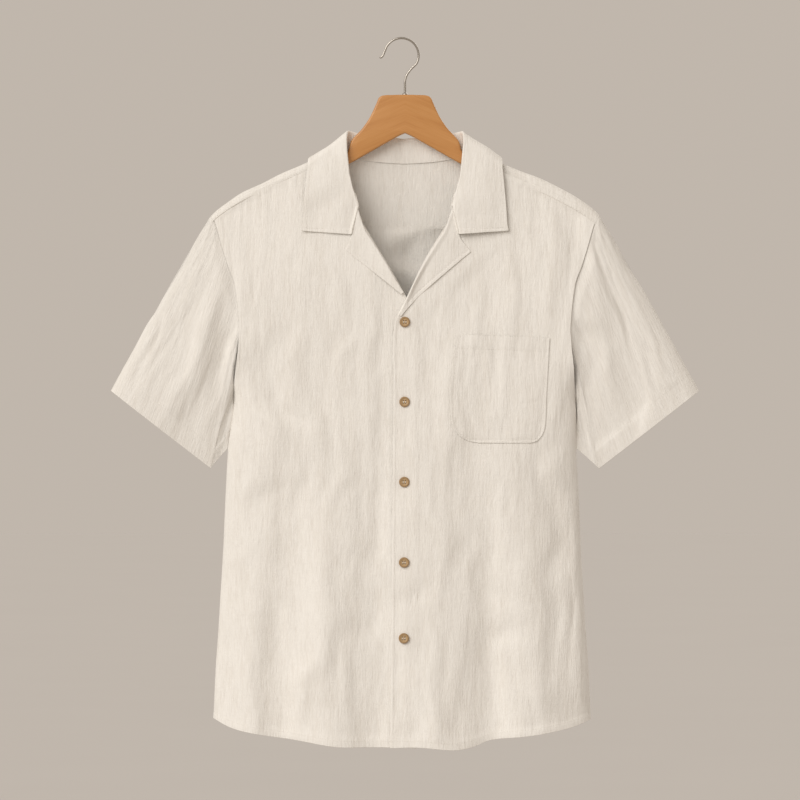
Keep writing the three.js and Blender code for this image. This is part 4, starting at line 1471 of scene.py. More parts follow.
@dataclass
class Lapel(ClothPiece):
    """A front's facing, turned out over its roll line."""

    name: str
    hand: Hand
    notch: tuple[float, float]
    sections: tuple[LapelRow, ...]
    relief: Relief
    thickness: float = DOUBLED
    allowance: float = 0.5
    lift: float = 2.3
    roll_height: float = 2.1
    full_width: float = 16.0
    notch_share: float = 0.5
    stitch: float = 4.4          # from the outer edge
    rows: int = 96
    columns: int = 34
    roll_columns: int = 13

    def grid(self) -> ClothGrid:
        """Outer face of the lapel, from the turn at the roll line to the outer edge.

        Returns:
            The cloth's points.
        """
        hand, first = self.hand.value, self.sections[0]
        at = stations(self.rows, (0.0, 0.04, 1.5), (1.0, 0.03, 1.0)) * (len(self.sections) - 1)
        roll_x, roll_z, out_x, out_z = (
            Curve(*((k, getattr(row, name)) for k, row in enumerate(self.sections)))(at)[:, None]
            for name in LapelRow.__dataclass_fields__)
        width = np.hypot(out_x - roll_x, out_z - roll_z)
        full = np.clip(width / self.full_width, 0.0, 1.0) ** 1.5
        turn = np.linspace(-90, 90, self.roll_columns)[None, :] * math.pi / 180
        flat = stations(self.columns, (1.0, 0.03, 1.0))[None, 1:]
        height = self.lift + self.roll_height * full
        radius = height / 2
        from_roll = np.concatenate([radius * (1 - np.cos(turn)), lerp(radius, width, flat)], axis=1)
        share = np.minimum(from_roll / width, 1.0)
        layer = np.concatenate([radius * (1 + np.sin(turn)),
                                lerp(height, self.lift, 1 - (1 - flat) ** 1.6)], axis=1)
        bend = np.clip(1 - at, 0, 1)[:, None] * (1 - np.abs(share / self.notch_share - 1))
        x = lerp(roll_x, out_x, share) + bend * (self.notch[0] - (first.roll_x + first.out_x) / 2)
        z = lerp(roll_z, out_z, share) + bend * (self.notch[1] - (first.roll_z + first.out_z) / 2)
        out = BODY.outward(hand * x, z, Face.FRONT)
        points = BODY.surface(hand * x, z, Face.FRONT) + out * layer[..., None]
        inwards = stack(-hand * np.ones(x.shape), 0.0, -0.4)
        upright = np.sin(np.concatenate([turn, np.full(flat.shape, math.pi / 2)], axis=1))[..., None]
        away = out * upright + inwards * (1 - np.abs(upright)) + 0.01 * out
        grid = ClothGrid(points, x, z, away)
        from_edge = (1 - share) * width
        rise = 0.3 * smooth(self.stitch - 0.4 - from_edge) - 0.3 * bell(from_edge - self.stitch, 1.0)
        calm = smooth((share * width - 2) / 6) * full
        return grid.lifted(calm * (self.relief.height(x, z) + rise * smooth(width / 12)))

    def lines(self, grid: ClothGrid) -> list[Path]:
        """Stitching along the outer edge."""
        return [grid.inset(Edge.LAST_COLUMN, self.stitch, 0.03, 0.7)]


@dataclass
class Pocket(ClothPiece):
    """A patch pocket sewn down on three sides, with its mouth a little open."""

    relief: Relief
    under: Relief                # of the front that it is sewn to
    name: str = "pocket"
    outline_left: Curve = Curve((-506, 92), (-503.5, 79), (-497, 68), (-488, 61), (-474, 57),
                                (-445, 56.5), (-416, 59), (-392, 62.5), (-373, 66))
    outline_right: Curve = Curve((-506, 158), (-503.5, 165), (-497, 171), (-488, 174.5), (-474, 176),
                                 (-445, 177), (-416, 178.4), (-392, 179.7), (-373, 180.7))
    bottom_z: float = -506.0
    top_z: float = -373.0
    mouth_tilt: float = 4.0
    thickness: float = 0.7
    rim: float = 0.2
    edge_lift: float = 1.15
    middle_lift: float = 1.9
    stitch: float = 3.4          # from the edge
    mouth: float = 17.0          # depth of the mouth's hem
    rows: int = 88
    columns: int = 80

    def rests_on(self) -> tuple[str, ...]:
        """The front carries the pocket."""
        return ("front_right_cloth",)

    def grid(self) -> ClothGrid:
        """Outer face of the pocket, from the bottom up and from side to side.

        Returns:
            The cloth's points.
        """
        up = stations(self.rows, (0.0, 0.04, 1.5), (1.0, 0.02, 1.5))[:, None]
        t = stations(self.columns, (0.0, 0.03, 1.5), (1.0, 0.03, 1.5))[None, :]
        row_z = lerp(self.bottom_z, self.top_z, up)
        left, right = self.outline_left(row_z), self.outline_right(row_z)
        x = lerp(left, right, t)
        z = row_z + self.mouth_tilt * (0.5 - t) * smooth((row_z + 445) / 72)
        from_edge = np.minimum(np.minimum(x - left, right - x), row_z - self.bottom_z)
        from_mouth = self.top_z - row_z
        bulge = smooth(from_edge / 26)
        height = lerp(self.edge_lift, self.middle_lift, bulge)
        height = height + 0.6 * bulge * smooth((30 - from_mouth) / 30) + self.under.height(x, z)
        grid = ClothGrid(BODY.lifted(x, z, Face.FRONT, height), x, z, BODY.outward(x, z, Face.FRONT))
        rise = 0.1 * smooth(self.stitch - 0.2 - from_edge) + 0.18 * smooth((self.mouth - from_mouth) / 2.5)
        line = 0.3 * bell(from_edge - self.stitch, 1.2) + 0.14 * bell(from_mouth - self.mouth, 1.8)
        return grid.lifted(smooth(from_edge / 10) * self.relief.height(x, z) + rise - line)

    def lines(self, grid: ClothGrid) -> list[Path]:
        """Stitching down the sides, round the corners and under the mouth."""
        sides = [grid.inset(edge, self.stitch, 0.04, 1.0)
                 for edge in (Edge.FIRST_COLUMN, Edge.LAST_COLUMN)]
        return sides + [grid.inset(Edge.FIRST_ROW, self.stitch, 0.04, 0.96),
                        grid.inset(Edge.LAST_ROW, self.mouth, 0.0, 1.0)]


class Hardware:
    """A hard part that stands for one or more nodes of the model."""

    def __init__(self, obj: bpy.types.Object, slot: Slot, nodes: tuple[str, ...] = ()) -> None:
        """Keep the object.

        Args:
            obj: The built object.
            slot: Its material slot.
            nodes: Nodes that it stands for.
        """
        self.obj, self.slot, self.nodes = obj, slot, nodes

    def dress(self, finish: bpy.types.Material) -> None:
        """Args:
            finish: Material of the part.
        """
        self.obj.data.materials.append(finish)
        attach(self.obj, ROOT)
        if self.nodes:
            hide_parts(*self.nodes)
        log.info("%s stands for %s", self.obj.name, ", ".join(self.nodes) or "its own detail")


@dataclass
class Button:
    """A four-hole button with a raised rim, sewn through its holes."""

    node: str
    diameter: float = 13.0
    thick: float = 2.6
    rim: float = 1.9
    dish: float = 0.75
    hole_r: float = 0.95
    hole_away: float = 1.95
    hole_depth: float = 2.1
    inner_r: float = 3.4         # within it the rings are close, for the holes
    inner_rings: int = 26
    outer_rings: int = 18
    back_round: float = 0.5      # depth of the bevel behind
    back_share: float = 0.92     # of the width that the bevel leaves
    sides: int = 84

    def centre(self) -> np.ndarray:
        """Middle of the node's front face in millimetres."""
        low, high = (np.array(corner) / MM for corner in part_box(self.node))
        return np.array([(low[0] + high[0]) / 2, low[1], (low[2] + high[2]) / 2])

    def face(self, r: np.ndarray, angle: np.ndarray) -> np.ndarray:
        """Form of the face.

        Args:
            r: Distances from the middle.
            angle: Directions from the middle.

        Returns:
            How far the face lies behind the rim's top.
        """
        radius = self.diameter / 2
        dish = self.dish * smooth((radius - self.rim - r) / 1.1)
        rounding = 0.95 * np.clip((r - radius + 0.95) / 0.95, 0, 1) ** 2.4
        total = dish + rounding
        for k in range(4):
            turn = math.pi / 4 + k * math.pi / 2
            away = np.hypot(r * np.cos(angle) - self.hole_away * math.cos(turn),
                            r * np.sin(angle) - self.hole_away * math.sin(turn))
            total = total + self.hole_depth * smooth((self.hole_r - away) / 0.25 + 0.5)
        return total

    def build(self) -> list[Hardware]:
        """Make the disc and its thread.

        Returns:
            The disc and its thread.
        """
        centre = self.centre()
        r = np.concatenate([np.linspace(0.05, self.inner_r, self.inner_rings),
                            np.linspace(self.inner_r + 0.1, self.diameter / 2, self.outer_rings)])
        angle = np.arange(self.sides) * 2 * math.pi / self.sides
        r, angle = (part.ravel() for part in np.meshgrid(r, angle, indexing="ij"))
        front = centre + stack(r * np.cos(angle), self.face(r, angle), r * np.sin(angle))
        side = front[-self.sides:].copy()
        side[:, 1] = centre[1] + self.thick - self.back_round
        back = (side - centre) * np.array([self.back_share, 1.0, self.back_share]) + centre
        back[:, 1] = centre[1] + self.thick
        points = np.concatenate([front, side, back])
        faces = tube_faces(self.inner_rings + self.outer_rings + 2, self.sides)
        disc = mesh_object(f"{self.node}_disc", points, faces, points - centre, sharp=math.radians(60))
        return [Hardware(disc, Slot.BUTTON, (self.node,)), Hardware(self.sew(centre), Slot.COTTON)]

    def sew(self, centre: np.ndarray) -> bpy.types.Object:
        """Sew two bars of thread through the holes.

        Args:
            centre: Middle of the button's front face.

        Returns:
            The thread.
        """
        reach = self.hole_away * math.sqrt(0.5)
        paths = []
        for x in (-reach - 0.2, -reach + 0.2, reach - 0.2, reach + 0.2):
            dips = self.dish + np.array([0.05, -0.2, 0.05])
            bar = stack(x, dips, np.array([-reach, 0.0, reach])) + centre
            paths.append(Path(bar, np.tile([0.0, -1.0, 0.0], (3, 1))))
        bars = Thread(pitch=2 * reach - 0.2, length=2 * reach + 0.2, radius=0.2, sides=8)
        return bars.sew(f"{self.node}_thread", paths)


@dataclass
class Hanger:
    """A flat wooden board with rounded edges, its arms just under the yoke."""

    node: str = "hanger"
    thick: float = 11.0
    rounding: float = 2.4
    arm_below: float = 4.2
    arm_height: float = 22.5
    arm_end_x: float = 219.0
    end_r: float = 10.2          # of the arms' round ends
    apex_z: float = -118.0
    neck: Curve = Curve((0, -69.6), (16, -70), (28, -70.8), (33, -74), (35.5, -80), (44, -98),
                        (53.5, -112), (67.5, -128), (70.5, -138), (75, -147), (82, -151.5))
    arch: Curve = Curve((0, -118), (8, -121.5), (69, -156), (84, -163.6))

    def half_outline(self) -> np.ndarray:
        """Right half of the outline, from the middle of the top to the middle of the arch.

        Returns:
            Points, X and Z.
        """

        def run(x: np.ndarray, z: np.ndarray) -> np.ndarray:
            """Points of one stretch."""
            return np.stack([x, z], axis=1)

        stretches = ((0, 27, 10), (28, 37, 14), (39, 64, 12), (65, 74, 14), (76, 82, 4))
        top_x = np.concatenate([np.linspace(*stretch) for stretch in stretches])
        arm_x = np.linspace(88, self.arm_end_x - 11, 26)
        low_x = np.linspace(198, 92, 22)
        arch_x = np.linspace(84, 2, 24)
        end_z = float(BODY.shoulder_z(self.arm_end_x - 8)) - self.arm_below - self.end_r - 0.1
        angle = np.radians(np.linspace(62, -112, 22))
        end_x = self.arm_end_x + self.end_r * (np.cos(angle) - 1)
        end = run(end_x, end_z + (self.end_r + 0.1) * np.sin(angle))
        arm_z, low_z = (BODY.shoulder_z(x) - self.arm_below for x in (arm_x, low_x))
        return np.concatenate([run(top_x, self.neck(top_x)), run(arm_x, arm_z), end,
                               run(low_x, low_z - self.arm_height), run(arch_x, self.arch(arch_x))])

    def build(self) -> list[Hardware]:
        """Make the board from copies of its outline, drawn in along the rounded edges.

        Returns:
            The board.
        """
        right = self.half_outline()
        outline = np.concatenate([right, [[0.0, self.apex_z]], right[:0:-1] * np.array([-1.0, 1.0])])
        way = unit(np.roll(outline, -1, axis=0) - np.roll(outline, 1, axis=0))
        inwards = np.stack([way[:, 1], -way[:, 0]], axis=1)
        steps = [(self.rounding * (1 - math.sin(a)), -self.thick / 2 + self.rounding * (1 - math.cos(a)))
                 for a in np.linspace(0, math.pi / 2, 6)]
        layers = steps + [(inset, -y) for inset, y in reversed(steps)]
        rings = ((outline + inwards * inset, y) for inset, y in layers)
        points = np.concatenate([stack(ring[:, 0], y, ring[:, 1]) for ring, y in rings])
        board = mesh_object("hanger_board", points, tube_faces(len(layers), len(outline)),
                            sharp=math.radians(40))
        return [Hardware(board, Slot.WOOD, (self.node,))]


@dataclass
class Hook:
    """A wire hook with a rounded tip and a small ferrule where it enters the board."""

    node: str = "hook"
    wire_r: float = 1.45
    bend_r: float = 21.5
    centre: tuple[float, float] = (-4.4, -20.05)
    foot: tuple[tuple[float, float], ...] = ((0, -69.2), (0, -60), (0.1, -52), (2.5, -44.5), (8, -37))
    tip: tuple[tuple[float, float], ...] = ((-28.5, -21.5), (-32, -23.5))
    ferrule: Curve = Curve((-70.2, 3.4), (-69.4, 3.6), (-68.2, 3.2), (-67.6, 2.2), (-67.2, 1.5))
    sides: int = 20

    def route(self) -> np.ndarray:
        """Middle of the wire, closely spaced.

        Returns:
            Points, X and Z.
        """
        angles = np.radians(np.arange(-30, 166, 13))
        arc = [(self.centre[0] + self.bend_r * math.cos(a), self.centre[1] + self.bend_r * math.sin(a))
               for a in angles]
        knots = np.array([*self.foot, *arc, *self.tip])
        length = np.concatenate([[0.0], np.cumsum(np.linalg.norm(np.diff(knots, axis=0), axis=1))])
        at = np.linspace(0, length[-1], 150)
        return np.stack([Curve(*zip(length, knots[:, k]))(at) for k in range(2)], axis=1)

    def build(self) -> list[Hardware]:
        """Sweep the wire and turn the ferrule.

        Returns:
            The wire and its ferrule.
        """
        middle = self.route()
        step = np.linalg.norm(np.diff(middle, axis=0), axis=1)
        from_tip = np.append(np.cumsum(step[::-1])[::-1], 0.0)
        tip = np.clip(1 - from_tip / self.wire_r, 0, 1)
        radius = self.wire_r * np.sqrt(np.clip(1 - tip ** 2, 0.02, 1))
        wire = self.tube("hook_wire", middle, unit(np.gradient(middle, axis=0)), radius, 70)
        z = self.ferrule.at
        upright = np.tile([0.0, 1.0], (len(z), 1))
        ferrule = self.tube("hook_ferrule", stack(0.0, z, 0.0)[:, :2], upright, self.ferrule.value, 50)
        return [Hardware(wire, Slot.STEEL, (self.node,)), Hardware(ferrule, Slot.STEEL)]

    def tube(self, name: str, middle: np.ndarray, way: np.ndarray, radius: np.ndarray,
             sharp: float) -> bpy.types.Object:
        """A round tube along a line in the X-Z plane.

        Args:
            name: Name of the object.
            middle: Points of the line, X and Z.
            way: Direction of the line at every point.
            radius: Radius at every point.
            sharp: Angle in degrees from which an edge stays sharp.

        Returns:
            The object.
        """
        angle = np.arange(self.sides) * 2 * math.pi / self.sides
        side = np.stack([way[:, 1], -way[:, 0]], axis=1)
        beside = radius[:, None] * np.cos(angle)
        x, z = (middle[:, k:k + 1] + side[:, k:k + 1] * beside for k in range(2))
        points = stack(x, radius[:, None] * np.sin(angle), z).reshape(-1, 3)
        faces = [(face[0], *face[:0:-1]) for face in tube_faces(len(middle), self.sides)]
        return mesh_object(name, points, faces, sharp=math.radians(sharp))


class Shader:
    """A material under construction, with short calls for its nodes."""

    def __init__(self, name: str, colour: Triple, roughness: float) -> None:
        """Start from the plain surface.

        Args:
            name: Name of the material.
            colour: Linear base colour.
            roughness: Roughness of the surface.
        """
        self.material = bpy.data.materials.new(name)
        self.material.use_nodes = True
        self.material.diffuse_color = (*colour, 1.0)
        self.tree = self.material.node_tree
        self.surface = self.tree.nodes["Principled BSDF"]
        self.set(Base_Color=(*colour, 1.0), Roughness=roughness)

    def feed(self, node: bpy.types.Node, inputs: dict) -> None:
        """Set inputs of a node, or link them where a value is another node's output.

        Args:
            node: The node.
            inputs: Values by the input's name, with underscores for spaces, or by its number.
        """
        for key, value in inputs.items():
            socket = node.inputs[key.replace("_", " ") if isinstance(key, str) else key]
            if isinstance(value, bpy.types.NodeSocket):
                self.tree.links.new(value, socket)
            else:
                socket.default_value = value

    def set(self, **inputs) -> None:
        """Set or link inputs of the surface."""
        self.feed(self.surface, inputs)

    def node(self, kind: str, **inputs) -> bpy.types.Node:
        """Add a node, its kind named without the prefix."""
        node = self.tree.nodes.new(f"ShaderNode{kind}")
        self.feed(node, inputs)
        return node

    def math(self, operation: str, *values, kind: str = "Math") -> bpy.types.Node:
        """Add a node that works on values in the order of its inputs.

        Args:
            operation: What the node does.
            values: Values or outputs in the order of its inputs.
            kind: Type of the node, without its prefix.

        Returns:
            The node.
        """
        node = self.tree.nodes.new(f"ShaderNode{kind}")
        node.operation = operation
        self.feed(node, dict(enumerate(values)))
        return node

    def total(self, first: bpy.types.NodeSocket, share: float, *more: tuple) -> bpy.types.NodeSocket:
        """Add values up, each times its share.

        Args:
            first: A value.
            share: Its share.
            more: Further values with their shares.

        Returns:
            The sum.
        """
        result = self.math("MULTIPLY", first, share).outputs[0]
        for value, part in more:
            result = self.math("MULTIPLY_ADD", value, part, result).outputs[0]
        return result

    def place(self) -> bpy.types.NodeSocket:
        """Places on the object in metres."""
        return self.node("TexCoord").outputs["Object"]

    def grain(self) -> bpy.types.NodeSocket:
        """Cloth coordinates in metres."""
        node = self.node("Attribute")
        node.attribute_name = "grain"
        return node.outputs["Vector"]

    def scaled(self, vector: bpy.types.NodeSocket, scale: Triple) -> bpy.types.NodeSocket:
        """A vector with each part multiplied."""
        return self.math("MULTIPLY", vector, scale, kind="VectorMath").outputs["Vector"]

    def warped(self, vector: bpy.types.NodeSocket, scale: float, amount: float) -> bpy.types.NodeSocket:
        """A vector moved about by soft noise of a scale, by a largest amount."""
        noise = self.node("TexNoise", Vector=vector, Scale=scale, Detail=1.0).outputs["Color"]
        moves = (amount, amount, amount)
        return self.math("MULTIPLY_ADD", noise, moves, vector, kind="VectorMath").outputs["Vector"]

    def noise(self, vector: bpy.types.NodeSocket, scale: Triple, detail: float = 2.0,
              rough: float = 0.5) -> bpy.types.NodeSocket:
        """Stretched noise, from 0 to 1."""
        return self.node("TexNoise", Vector=self.scaled(vector, scale), Scale=1.0, Detail=detail,
                         Roughness=rough).outputs[0]

    def wave(self, vector: bpy.types.NodeSocket, scale: Triple, axis: str) -> bpy.types.NodeSocket:
        """Regular ribs across an axis, from 0 to 1, one to the unit of the scaled vector.

        Args:
            vector: Where to read the ribs.
            scale: Ribs to the metre, by axis.
            axis: Axis that they repeat along.

        Returns:
            The ribs' height.
        """
        node = self.node("TexWave", Vector=self.scaled(vector, scale), Scale=0.314, Distortion=0.6,
                         Detail_Scale=0.4)
        node.bands_direction = axis
        return node.outputs["Fac"]

    def ramp(self, value: bpy.types.NodeSocket, *stops: tuple[float, Triple]) -> bpy.types.NodeSocket:
        """Colours along a value.

        Args:
            value: The value.
            stops: Places with their colours.

        Returns:
            The colour.
        """
        node = self.node("ValToRGB", Fac=value)
        elements = node.color_ramp.elements
        while len(elements) < len(stops):
            elements.new(0.5)
        for element, (at, colour) in zip(elements, stops):
            element.position = at
            element.color = (*colour, 1.0)
        return node.outputs["Color"]

    def bump(self, height: bpy.types.NodeSocket, distance: float) -> None:
        """Roughen the surface by a height."""
        bump = self.node("Bump", Height=height, Distance=distance, Strength=1.0)
        self.set(Normal=bump.outputs["Normal"])


@dataclass(frozen=True)
class CottonFinish:
    """Crinkled off-white gauze with slubs running down the cloth."""

    name: str = "cotton_gauze"
    low: Triple = (0.790, 0.755, 0.702)
    high: Triple = (0.888, 0.865, 0.824)
    bump_depth: float = 0.00058

    def make(self) -> bpy.types.Material:
        """Build the material: slubs, weft, crimp and ribs in relief, and a colour that follows them.

        Returns:
            The material.
        """
        shader = Shader(self.name, self.high, 0.9)
        grain = shader.warped(shader.grain(), 45.0, 0.0022)
        streak = shader.noise(grain, (290, 32, 40), detail=3.0, rough=0.62)
        slub = shader.noise(grain, (1000, 60, 60))
        weft = shader.noise(grain, (60, 1100, 60), detail=1.0)
        crimp = shader.noise(grain, (420, 150, 60))
        warp_rib = shader.wave(grain, (1650, 1650, 1), "X")
        weft_rib = shader.wave(grain, (1500, 1500, 1), "Y")
        ribs = shader.math("MULTIPLY", warp_rib, weft_rib).outputs[0]
        height = shader.total(streak, 1.3, (slub, 0.55), (weft, 0.4), (crimp, 0.7), (ribs, 0.14))
        shader.bump(height, self.bump_depth)
        cloud = shader.noise(grain, (46, 9, 20), detail=3.0)
        shade = shader.total(streak, 0.4, (slub, 0.4), (cloud, 0.3))
        shader.set(Base_Color=shader.ramp(shade, (0.36, self.low), (0.6, self.high)), Sheen_Weight=0.15,
                   Sheen_Roughness=0.5, Specular_IOR_Level=0.25)
        return shader.material


@dataclass(frozen=True)
class ButtonFinish:
    """Tan corozo with a darker rim and fine growth lines."""

    name: str = "button_corozo"
    middle: Triple = (0.500, 0.345, 0.180)
    rim: Triple = (0.345, 0.215, 0.100)
    pale: Triple = (0.600, 0.440, 0.255)
    radius: float = 0.0065       # of the button, in metres

    def make(self) -> bpy.types.Material:
        """Build the material: rings of colour from the middle, broken by growth lines.

        Returns:
            The material.
        """
        shader = Shader(self.name, self.middle, 0.42)
        grain = shader.grain()
        flat = shader.scaled(grain, (1, 0, 1))
        length = shader.math("LENGTH", flat, kind="VectorMath").outputs["Value"]
        lines = shader.noise(grain, (260, 400, 1500), detail=3.0)
        mixed = shader.total(length, 1 / self.radius, (lines, 0.34))
        colour = shader.ramp(mixed, (0.28, self.pale), (0.72, self.middle), (0.98, self.rim))
        shader.set(Base_Color=colour, Coat_Weight=0.15)
        shader.bump(lines, 0.00008)
        return shader.material


@dataclass(frozen=True)
class WoodFinish:
    """Honey-coloured varnished wood, its grain along each arm."""

    name: str = "hanger_beech"
    pale: Triple = (0.610, 0.300, 0.100)
    mid: Triple = (0.550, 0.252, 0.073)
    dark: Triple = (0.470, 0.200, 0.053)
    slope: float = 0.44

    def make(self) -> bpy.types.Material:
        """Build the material: broad bands and fine fibres, turned to run along the arms.

        Returns:
            The material.
        """
        shader = Shader(self.name, self.mid, 0.36)
        parts = shader.node("SeparateXYZ", Vector=shader.place()).outputs
        x = shader.math("ABSOLUTE", parts["X"]).outputs[0]
        along = shader.math("MULTIPLY_ADD", parts["Z"], -self.slope, x).outputs[0]
        across = shader.math("MULTIPLY_ADD", x, self.slope, parts["Z"]).outputs[0]
        grain = shader.node("CombineXYZ", X=along, Y=across, Z=parts["Y"]).outputs["Vector"]
        broad = shader.noise(grain, (7, 75, 45), detail=3.0, rough=0.6)
        fibre = shader.noise(grain, (26, 900, 500))
        mixed = shader.total(broad, 0.72, (fibre, 0.28))
        colour = shader.ramp(mixed, (0.3, self.dark), (0.46, self.mid), (0.66, self.pale))
        shader.set(Base_Color=colour, Coat_Weight=0.25, Coat_Roughness=0.25)
        shader.bump(fibre, 0.00006)
        return shader.material


@dataclass(frozen=True)
class SteelFinish:
    """Satin nickel wire with fine draw marks."""

    name: str = "hook_nickel"
    colour: Triple = (0.44, 0.41, 0.37)

    def make(self) -> bpy.types.Material:
        """Build the material: metal with marks that vary its gloss.

        Returns:
            The material.
        """
        shader = Shader(self.name, self.colour, 0.26)
        marks = shader.noise(shader.place(), (900, 900, 900), detail=3.0)
        rough = shader.node("MapRange", Value=marks, To_Min=0.22, To_Max=0.3).outputs["Result"]
        shader.set(Metallic=1.0, Roughness=rough)
        shader.bump(marks, 0.000004)
        return shader.material


@dataclass(frozen=True)
class FloorFinish:
    """Plain plaster-coloured floor with a soft mottle."""

    name: str = "floor_plaster"
    pale: Triple = (0.580, 0.5575, 0.534)
    dark: Triple = (0.576, 0.5535, 0.530)

    def make(self) -> bpy.types.Material:
        """Build the material: a faint mottle without gloss.

        Returns:
            The material.
        """
        shader = Shader(self.name, self.pale, 0.85)
        mottle = shader.noise(shader.place(), (1.4, 1.4, 1.4), detail=4.0)
        colour = shader.ramp(mottle, (0.35, self.dark), (0.65, self.pale))
        shader.set(Base_Color=colour, Specular_IOR_Level=0.0)
        shader.bump(shader.noise(shader.place(), (160, 160, 160), detail=3.0), 0.0004)
        return shader.material


@dataclass
class Studio:
    """Floor, light and camera."""

    floor_z: float = -1700.0
    floor_size: float = 90.0                  # metres
    aim: tuple[float, float] = (-6.25, -452.5)
    lens: float = 250.0
    sensor: float = 36.0
    width: float = 1000.0                     # what the picture spans at the shirt's front
    front_y: float = -24.0
    key_way: Triple = (0.85, 1.1, -0.75)
    key_strength: float = 1.78
    lamp_angle: float = 46.0
    lamp_colour: Triple = (1.0, 0.975, 0.94)
    back_way: Triple = (-0.6, -1.0, -0.6)
    back_strength: float = 0.8
    fill: Triple = (0.50, 0.445, 0.39)
    fill_strength: float = 1.06

    def build(self) -> None:
        """Set up the whole studio."""
        self.floor()
        self.lamp("studio_key", self.key_way, self.key_strength)
        self.lamp("studio_back", self.back_way, self.back_strength)
        self.world()
        self.camera()
        bpy.context.scene.view_settings.view_transform = "Standard"

    def floor(self) -> None:
        """A plain floor far below the hem."""
        half = self.floor_size / 2 / MM
        corners = stack(half * np.array([-1, 1, 1, -1]), half * np.array([-1, -1, 1, 1]), self.floor_z)
        floor = mesh_object("studio_floor", corners, [(0, 1, 2, 3)])
        floor.data.materials.append(FloorFinish().make())

    def lamp(self, name: str, way: Triple, strength: float) -> None:
        """Soft daylight from one side.

        Args:
            name: Name of the lamp.
            way: Direction that the light takes.
            strength: Strength of the light.
        """
        light = bpy.data.lights.new(name, "SUN")
        light.energy = strength
        light.angle = math.radians(self.lamp_angle)
        light.color = self.lamp_colour
        lamp = bpy.data.objects.new(name, light)
        lamp.rotation_euler = Vector(way).to_track_quat("-Z", "Y").to_euler()
        bpy.context.scene.collection.objects.link(lamp)

    def world(self) -> None:
        """Even light from all round."""
        world = bpy.data.worlds.new("studio_world")
        world.use_nodes = True
        background = world.node_tree.nodes["Background"]
        background.inputs["Color"].default_value = (*self.fill, 1.0)
        background.inputs["Strength"].default_value = self.fill_strength
        bpy.context.scene.world = world

    def camera(self) -> None:
        """Camera straight in front of the shirt."""
        lens = bpy.data.cameras.new("studio_camera")
        lens.lens = self.lens
        lens.sensor_width = self.sensor
        lens.clip_start, lens.clip_end = 0.05, 200.0
        away = self.width * self.lens / self.sensor
        camera = bpy.data.objects.new("studio_camera", lens)
        camera.location = (self.aim[0] * MM, (self.front_y - away) * MM, self.aim[1] * MM)
        camera.rotation_euler = (math.pi / 2, 0.0, 0.0)
        bpy.context.scene.collection.objects.link(camera)
        bpy.context.scene.camera = camera


BUTTON_PLACES = tuple((-0.25 - 0.3 * k, z) for k, z in enumerate((-355, -454.8, -554.8, -655, -749.4)))

FRONT_RIGHT = TopFront(
    name="front_right", hand=Hand.RIGHT, seam_below=16.0, drop=0.0, buttons=BUTTON_PLACES,
    inner_x=Curve((0, -18), (0.55, -14), (0.65, -13), (0.7, 2.5), (0.78, 25), (0.87, 59), (0.93, 76),
                  (1, 83)),
    inner_z=Curve((0, -886), (0.55, -430), (0.65, -358), (0.7, -324), (0.78, -277), (0.87, -221),
                  (0.93, -184), (1, -153)),
    relief=Relief(seed=11, creases=each(
        Crease, (207, -285, 170, 6, 1.6, 6), (186, -290, 160, 8, -1.2, 3),
        (125, -273, 36, 3.5, 0.7), (162, -240, 72, 5, 0.9), (102, -345, 24, 3, 0.4),
        (84, -640, 90, 3.5, 0.6, -4), (80, -742, 80, 3, 0.6, 3), (92, -800, 60, 2.6, 0.5),
        (204, -780, 110, 4, 0.8, 4), (214, -700, 80, 3, 0.5), (156, -560, 150, 7, -0.9),
        (48, -600, 220, 9, -1.0), (128, -560, 120, 6, 0.9), (212, -848, 26, 3, 0.5, 80),
        (36, -470, 120, 5, 0.5), (62, -560, 140, 5, 0.5, 2))),
    gathers=each(Gather, (112, 60, 2.4, 0.6), (124, 95, 2.8, 0.9), (136, 70, 2.6, 0.8, 1),
             (147, 120, 3.0, 1.1), (158, 80, 2.6, 0.8, 2), (169, 130, 3.2, 1.1, 1),
             (181, 90, 2.8, 0.9), (192, 120, 3.0, 1.0, 2), (204, 80, 2.6, 0.8),
             (215, 60, 2.4, 0.6)))

FRONT_LEFT = FrontPanel(
    name="front_left", hand=Hand.LEFT, seam_below=10.0, drop=UNDER_DROP,
    inner_x=Curve((0, 15), (0.55, 15), (0.65, 15), (0.7, 0.5), (0.78, -25), (0.87, -59), (0.93, -76),
                  (1, -83)),
    inner_z=Curve((0, -886), (0.55, -430), (0.65, -352), (0.7, -322), (0.78, -277), (0.87, -221),
                  (0.93, -184), (1, -147)),
    relief=Relief(seed=31, creases=each(
        Crease, (-205, -318, 150, 9, -1.2), (-190, -305, 78, 4, 0.9), (-183, -375, 52, 4, 0.8),
        (-139, -283, 42, 3.5, 0.8), (-107, -260, 40, 3.5, 0.9), (-76, -453, 34, 3, 0.5),
        (-29, -323, 36, 3, 0.6, -25), (-155, -600, 260, 8, 0.9), (-104, -640, 260, 10, -1.0),
        (-188, -782, 100, 3.2, 0.7, 4), (-196, -760, 60, 2.6, 0.5, -3),
        (-78, -645, 46, 2.6, 0.5, 16), (-68, -655, 40, 2.6, 0.5, 12),
        (-55, -560, 180, 7, 0.8), (-128, -480, 130, 6, 0.5, 2), (-60, -420, 120, 5, 0.4))),
    gathers=each(Gather, (-112, 70, 2.6, 0.7), (-123, 100, 2.8, 0.9), (-134, 75, 2.6, 0.8, -1),
             (-146, 125, 3.0, 1.1), (-157, 80, 2.6, 0.8, -2), (-168, 135, 3.2, 1.1),
             (-180, 95, 2.8, 0.9, -1), (-191, 120, 3.0, 1.0), (-203, 85, 2.6, 0.8, -1),
             (-215, 60, 2.4, 0.6)))

